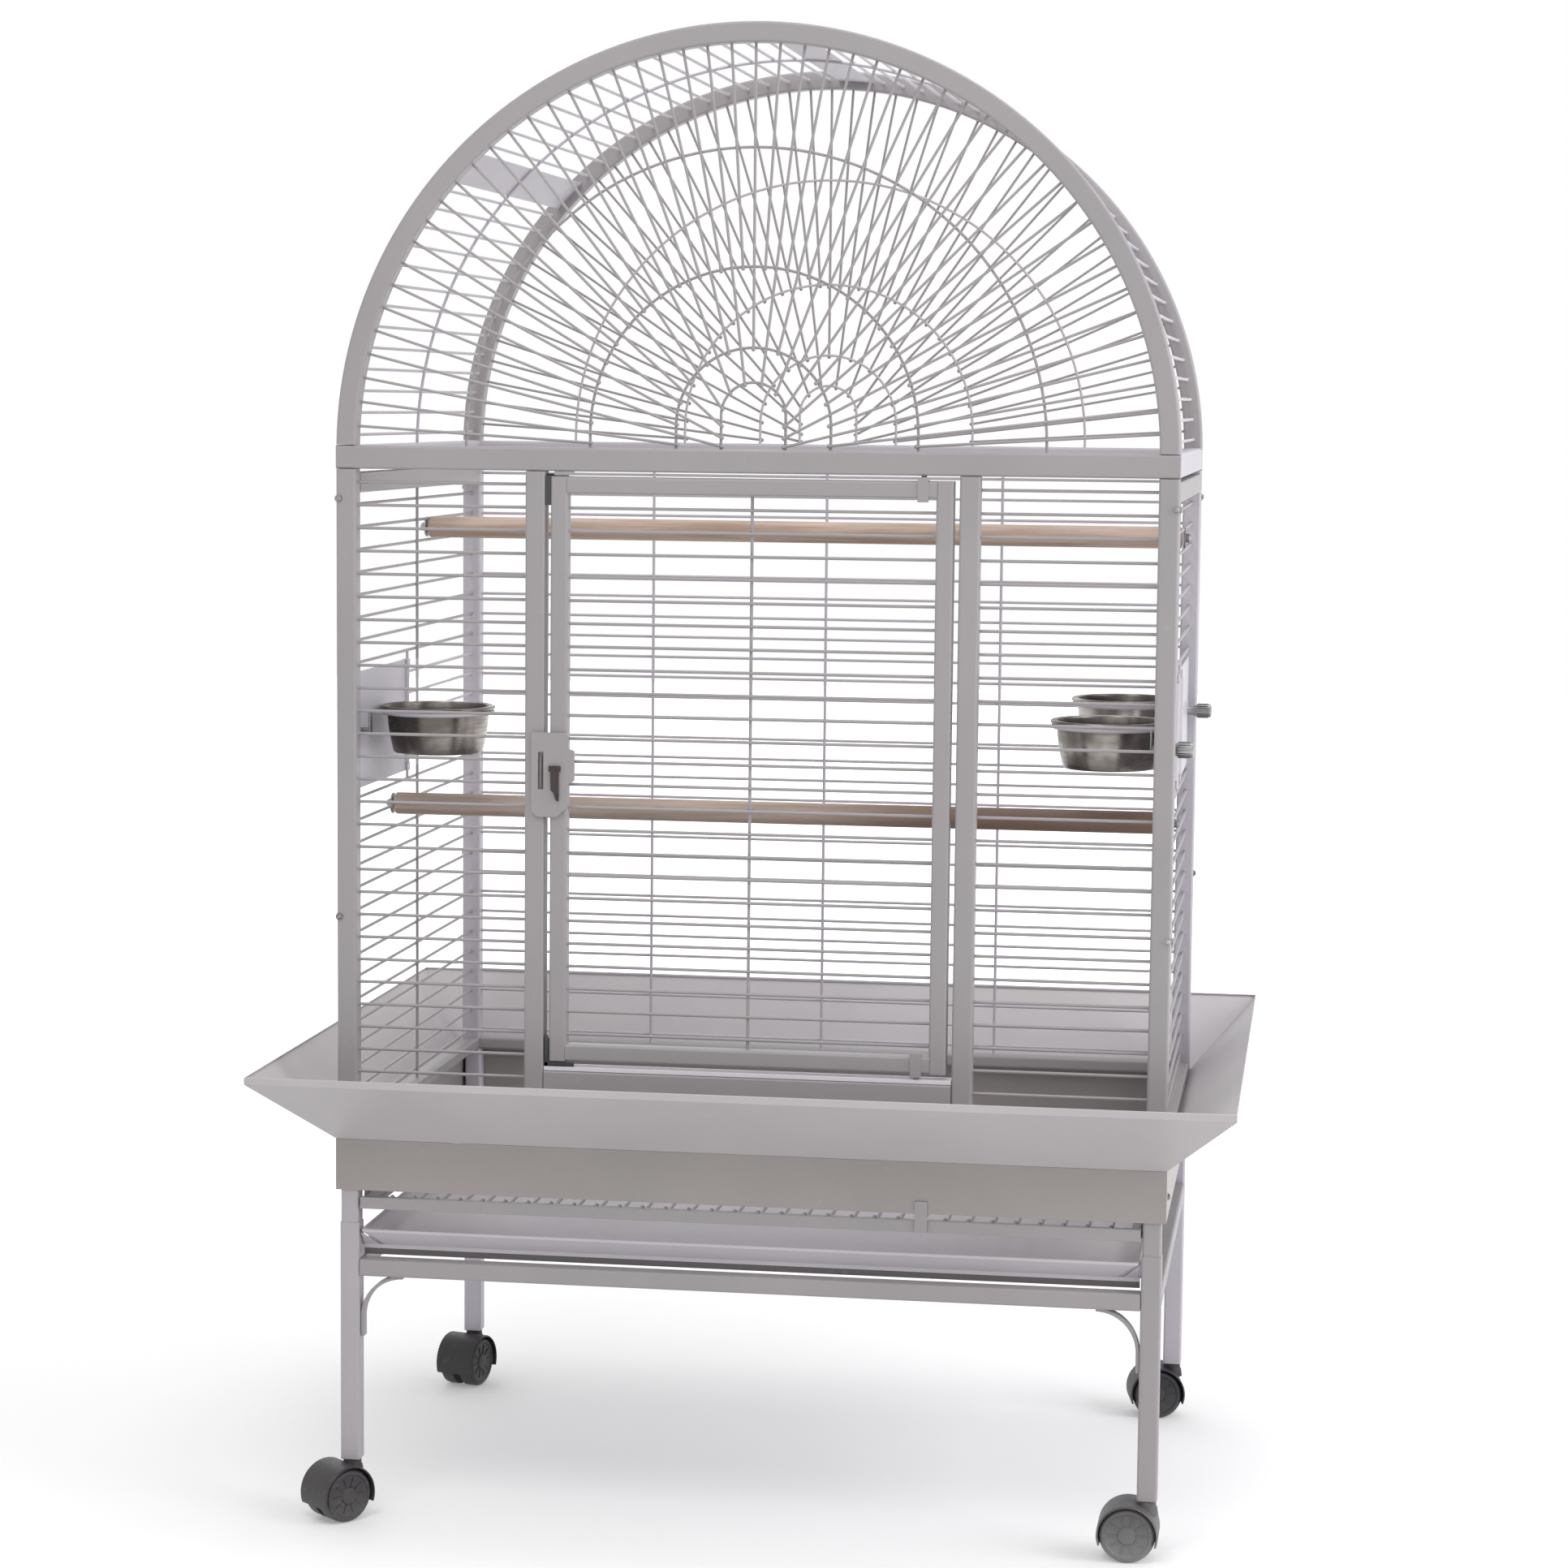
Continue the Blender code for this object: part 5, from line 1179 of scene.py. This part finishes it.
# Grate, pull tab and tray
grate = {
    "low": 0.352, "strip": 0.013, "thick": 0.003, "sideBar": 0.006, "sideDrop": 0.002, "lift": 0.0045,
    "cross": 0.19, "clear": 0.001, "lip": 0.014, "lipThick": 0.0012, "lipStart": 0.0003,
}
solid = bmesh.new()
top = grate["low"] + grate["strip"]
stripBack = frontFace + grate["thick"]
stripHalf = legInner - grate["clear"]
sideOuter = legInner - apron["sheet"] - grate["clear"]
clear = sideOuter - grate["sideBar"]
start = stripBack - cage["sink"]
finish = sideReach - grate["thick"] + cage["sink"]
addBlock(solid, (-stripHalf, frontFace, grate["low"]), (stripHalf, stripBack, top), eased["bar"])
addBlock(solid, (-sideOuter, sideReach - grate["thick"], grate["low"]), (sideOuter, sideReach, top),
         eased["bar"])
for side in (-1, 1):
    addBlock(solid, (side * sideOuter, start, grate["low"]), (side * clear, finish, top - grate["sideDrop"]),
             eased["bar"])
count = math.floor(2 * clear / cage["pitch"])
wireZ = grate["low"] + grate["lift"]
spacing = 2 * clear / count
firstX = spacing - clear
addRow(solid, (firstX, start, wireZ), (firstX, finish, wireZ), (spacing, 0, 0), count - 1)
crossZ = wireZ + wire["diameter"]
left, right = around(0, clear + cage["sink"])
addRow(solid, (left, -grate["cross"], crossZ), (right, -grate["cross"], crossZ), (0, 2 * grate["cross"], 0), 2)
lipZ = top - wire["diameter"] / 2
addBlock(solid, (-stripHalf, start, lipZ - grate["lipThick"]), (stripHalf, stripBack + grate["lip"], lipZ),
         eased["sheet"])
lipY = stripBack + grate["lipStart"]
addRow(solid, (firstX, lipY, lipZ), (firstX, lipY + grate["lip"] - cage["sink"], lipZ), (spacing, 0, 0),
       count - 1)
makePiece("floorGrate", solid, ["floor_grate"])

tab = {"shadeInset": 0.001, "shadeDepth": (0.0021, 0.0024), "slotTall": 0.0042}
solid = bmesh.new()
low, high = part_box("grate_pull_tab")
bend = low.y + apron["sheet"]
foot = top - cage["sink"]
section = [(high.y, low.z), (high.y, foot), (bend, foot), (bend, high.z), (low.y, high.z), (low.y, low.z)]
addExtruded(solid, [(low.x, y, z) for y, z in section], (high.x - low.x, 0, 0), eased["plate"])
makePiece("gratePullTab", solid, ["grate_pull_tab"])
# A near-black block over the pull tab's top: painted shade for the shadow between the tab and the apron
solid = bmesh.new()
near, far = tab["shadeDepth"]
addBlock(solid, (low.x + tab["shadeInset"], low.y + near, high.z),
         (high.x - tab["shadeInset"], low.y + far, high.z + tab["slotTall"]), eased["slot"])
makePiece("tabTopShade", solid, finish="latchSteel",
          body=frame["nodes"]["floor_grate"]["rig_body"])

# The tray's levels start under its floor and go up the outside: (inset, height), with the heights of
# the outside counted from the rim
tray = {
    "low": 0.309, "rim": 0.020, "slope": 0.016, "clear": 0.0015, "rear": 0.030, "sheet": 0.0012,
    "corner": 0.006, "cornerGain": 0.3, "cornerSteps": 4, "innerSlope": (0.002, -0.0042),
    "levels": ((0.0, -0.003), (0.0, -0.0006), (0.0006, 0.0), (0.0022, 0.0), (0.0028, -0.0006),
               (0.0028, -0.003)),
    "gussetGap": 0.002, "gussetTop": (0.0012, 0.004), "hemGap": 0.0003, "hemTall": 0.0045,
    "shadeStripTall": 0.0115, "shadeStripStep": 0.001,
}
reach = legInner - tray["clear"]
back = cage["halfDepth"] - tray["rear"]
rim = tray["low"] + tray["rim"]
sheet = tray["sheet"]


def trayLoop(inset, height):
    # One level of the tray, with its corners turned through a small radius.
    points = []
    radius = tray["corner"] + inset * tray["cornerGain"]
    for x, y, turn in ((reach, back, 0), (-reach, back, 90), (-reach, frontFace, 180),
                       (reach, frontFace, 270)):
        centre = (x - math.copysign(inset + radius, x), y - math.copysign(inset + radius, y))
        for step in range(tray["cornerSteps"] + 1):
            angle = math.radians(turn + 90 * step / tray["cornerSteps"])
            points.append((centre[0] + radius * math.cos(angle), centre[1] + radius * math.sin(angle), height))
    return points


solid = bmesh.new()
levels = [(tray["slope"], tray["low"])] + [(inset, rim + drop) for inset, drop in tray["levels"]]
levels += [(tray["innerSlope"][0], rim + tray["innerSlope"][1]), (tray["slope"] + sheet, tray["low"] + sheet)]
addLoft(solid, [trayLoop(*level) for level in levels])
# The front edge runs the full width: gussets close its slanted ends and a hem hangs below it.
hemFront = frontFace + tray["slope"] + tray["hemGap"]
hemEnd = reach - cage["seat"]
inward, down = tray["gussetTop"]
for side in (-1, 1):
    gusset = [(reach - tray["slope"] - tray["gussetGap"], hemFront, tray["low"]),
              (hemEnd, frontFace + inward, rim - down), (hemEnd, hemFront, tray["low"])]
    addExtruded(solid, [(side * x, y, z) for x, y, z in gusset], (0, sheet, 0))
hemLow = tray["low"] - tray["hemTall"]
addBlock(solid, (-hemEnd, hemFront, hemLow), (hemEnd, hemFront + sheet, tray["low"] + cage["seat"]),
         eased["sheet"])
makePiece("litterTray", solid, ["litter_tray"], "tray", sharp=40)

# A near-black strip under the tray's front edge: painted shade for the shadowed gap above the rail
solid = bmesh.new()
shadeStripFront = hemFront + tray["shadeStripStep"]
addBlock(solid, (-hemEnd, shadeStripFront, tray["low"] - tray["shadeStripTall"]),
         (hemEnd, shadeStripFront + sheet, hemLow + cage["sink"]), eased["sheet"])
makePiece("trayHem", solid, finish="trayHem",
          body=frame["nodes"]["litter_tray"]["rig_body"])
print("grate and tray ready")

# Casters: a hood over two wheels, turned about the leg's axis; a profile is (radius, distance along the axis)
caster = {
    "turns": {"front_left": 50, "front_right": 0, "back_left": 75, "back_right": 10}, "trail": 0.020,
    "hubZ": 0.0305, "dip": 20, "steps": 64,
    "shell": ((0.0315, -0.0254), (0.0321, -0.026), (0.0323, -0.0258), (0.0335, -0.024)),
    "web": (0.0037, 0.032, 0.0042),
    "stem": ((0, 0.050), (0.0125, 0.050), (0.0112, 0.0585), (0.010, 0.060), (0.010, 0.0648), (0.009, 0.066),
             (0, 0.066)),
    "wheel": ((0, 0.0046), (0.0295, 0.0046), (0.0305, 0.0056), (0.0305, 0.018), (0.0298, 0.0205),
              (0.0275, 0.0228), (0.0243, 0.0236), (0.023, 0.0222), (0.020, 0.0214), (0.0105, 0.0214),
              (0.009, 0.0232), (0.006, 0.0239), (0, 0.024)),
    "axle": (0.003, 0.0056), "ribs": {"Count": 10, "Radius": 0.0155, "Rib Size": (0.0105, 0.0016, 0.0022)},
    "ribsAt": 0.0212,
    # The front right caster takes a lighter copy of the plastic, painted light, and the back ones a darker
    # copy, painted shade
    "finishes": {"front_left": "caster", "front_right": "dustyCaster", "back_left": "backCaster",
                 "back_right": "backCaster"},
}
hub = Vector((-caster["trail"], 0, caster["hubZ"]))
dip = math.radians(caster["dip"])
bore, radius, web = caster["web"]
shell = [*caster["shell"], *[(wide, -along) for wide, along in reversed(caster["shell"])]]
for corner, (side, end) in corners.items():
    place = Matrix.Translation((side * stand["legX"], end * frontPlane, 0)) @ Matrix.Rotation(
        math.radians(caster["turns"][corner]), 4, "Z")
    finish = caster["finishes"][corner]
    made = bmesh.new()
    for profile in (shell, [(bore, -web), (radius, -web), (radius, web), (bore, web)]):
        addTurned(made, profile, hub, (0, -1, 0), caster["steps"], start=-dip, sweep=math.pi + 2 * dip)
    addTurned(made, caster["stem"], (0, 0, 0), upright, facets["stem"])
    solid = bmesh.new()
    addBmesh(solid, made, place)
    makePiece("casterHood." + corner, solid, ["caster_hood_" + corner], finish, sharp=40)

    made = bmesh.new()
    for face in (-1, 1):
        addTurned(made, [(wide, face * along) for wide, along in caster["wheel"]], hub, (0, 1, 0),
                  caster["steps"])
        ribs = runTree(trees["ribs"], emptyMesh, finish, caster["ribs"])
        ribs.transform(Matrix.Translation(hub + Vector((0, face * caster["ribsAt"], 0)))
                       @ Matrix.Rotation(math.pi / 2, 4, "X"))
        made.from_mesh(ribs)
    thick, long = caster["axle"]
    addRod(made, thick, -long, long, hub, (0, 1, 0), facets["hinge"])
    solid = bmesh.new()
    addBmesh(solid, made, place)
    makePiece("casterWheels." + corner, solid, ["caster_wheels_" + corner], finish, sharp=30)
print("casters ready")

# Small bolts on the posts and the aprons
bolts = {
    "postHeights": (0.678, 1.137), "apronHeight": 0.398, "postInset": 0.003, "apronInset": 0.012,
    "sizes": {"Head Width": 0.0062, "Head Height": 0.0020, "Washer Width": 0.0085, "Washer Height": 0.0016,
              "Sides": 12},
}
places = []
for side in (-1, 1):
    places += [((side * (cage["halfWidth"] - bolts["postInset"]), frontFace, height), (0, -1, 0))
               for height in bolts["postHeights"]]
    for end in (-1, 1):
        spots = [(cage["halfWidth"] + apron["sheet"], frontPlane - bolts["apronInset"], bolts["apronHeight"])]
        spots += [(cage["halfWidth"], frontPlane, height) for height in bolts["postHeights"]]
        places += [((side * x, end * y, z), (side, 0, 0)) for x, y, z in spots]
addBolts("postBolts", places, bolts["sizes"])
print("bolts ready")

# Camera at the photograph's place
view = {"place": (0.6274, -4.2233, 1.2442), "yaw": 0.149, "pitch": -0.1024, "roll": 0.0099,
        "lens": 84.944, "sensor": 36.0}
cameraData = bpy.data.cameras.new("camera")
cameraData.sensor_width = view["sensor"]
cameraData.lens = view["lens"]
camera = bpy.data.objects.new("camera", cameraData)
camera.matrix_world = Matrix.Translation(view["place"])
for angle, axis in ((view["yaw"], "Z"), (math.pi / 2 + view["pitch"], "X"), (view["roll"], "Z")):
    camera.matrix_world @= Matrix.Rotation(angle, 4, axis)
sceneCollection.objects.link(camera)
bpy.context.scene.camera = camera

# Soft studio light, pale floor and white surroundings; a lamp has its place, target, size, power and colour
studio = {
    "world": 0.57, "floorSize": 24.0, "floorGlow": 0.22, "floorFade": (1.2, 3.0),
    "floor": {"Base Color": (0.9, 0.9, 0.9, 1), "Roughness": 0.8, "Specular IOR Level": 0.1,
              "Emission Color": (1, 1, 1, 1)},
    "lamps": {
        "keyLight": ((-0.5, -2.4, 3.4), (0, 0, 1.2), 1.8, 29.5, (1.0, 0.99, 0.98)),
        "sideLight": ((3.2, -0.9, 2.0), (0, 0, 0.9), 2.4, 52.0, (0.97, 0.97, 1.0)),
        "topLight": ((0.4, 0.4, 3.6), (0, 0, 1.0), 2.2, 31.0, (0.97, 0.97, 1.0)),
        "backLight": ((-1.6, 3.4, 2.4), (0, 0, 1.0), 2.4, 15.0, (0.96, 0.96, 1.0)),
    },
}
for name, (place, target, size, power, colour) in studio["lamps"].items():
    lampData = bpy.data.lights.new(name, "AREA")
    lampData.shape = "DISK"
    lampData.size = size
    lampData.energy = power
    lampData.color = colour
    lamp = bpy.data.objects.new(name, lampData)
    lamp.location = place
    lamp.rotation_mode = "QUATERNION"
    lamp.rotation_quaternion = (Vector(target) - Vector(place)).to_track_quat("-Z", "Y")
    sceneCollection.objects.link(lamp)


def seenByViewer(tree):
    # One where a ray comes from the camera, a gloss or a glass.
    path = tree.nodes.new("ShaderNodeLightPath").outputs
    first = calculate(tree, "MAXIMUM", path["Is Camera Ray"], path["Is Glossy Ray"])
    return calculate(tree, "MAXIMUM", first, path["Is Transmission Ray"])


world = bpy.data.worlds.new("studioWorld")
bpy.context.scene.world = world
world.use_nodes = True
tree = world.node_tree
backdrop = tree.nodes["Background"].inputs
strength = calculate(tree, "MULTIPLY", seenByViewer(tree), 1.0 - studio["world"])
tree.links.new(calculate(tree, "ADD", strength, studio["world"]), backdrop["Strength"])
backdrop["Color"].default_value = (1, 1, 1, 1)

floorMesh = bpy.data.meshes.new("floor")
edge = studio["floorSize"] / 2
rim = [(-edge, -edge, 0), (edge, -edge, 0), (edge, edge, 0), (-edge, edge, 0)]
floorMesh.from_pydata(rim, [], [(0, 1, 2, 3)])
floor = bpy.data.objects.new("floor", floorMesh)
sceneCollection.objects.link(floor)
floorFinish = bpy.data.materials.new("paleFloor")
floorFinish.use_nodes = True
tree = floorFinish.node_tree
shader = tree.nodes["Principled BSDF"].inputs
for label, value in studio["floor"].items():
    shader[label].default_value = value
floorPlace = tree.nodes.new("ShaderNodeTexCoord").outputs["Object"]
distance = addNode(tree, "ShaderNodeVectorMath", {0: floorPlace}, operation="LENGTH").outputs["Value"]
glow = spread(tree, distance, *studio["floorFade"], studio["floorGlow"])
tree.links.new(calculate(tree, "MULTIPLY", seenByViewer(tree), glow), shader["Emission Strength"])
floorMesh.materials.append(floorFinish)
bpy.context.scene.view_settings.view_transform = "Standard"
print("camera, light and floor ready")
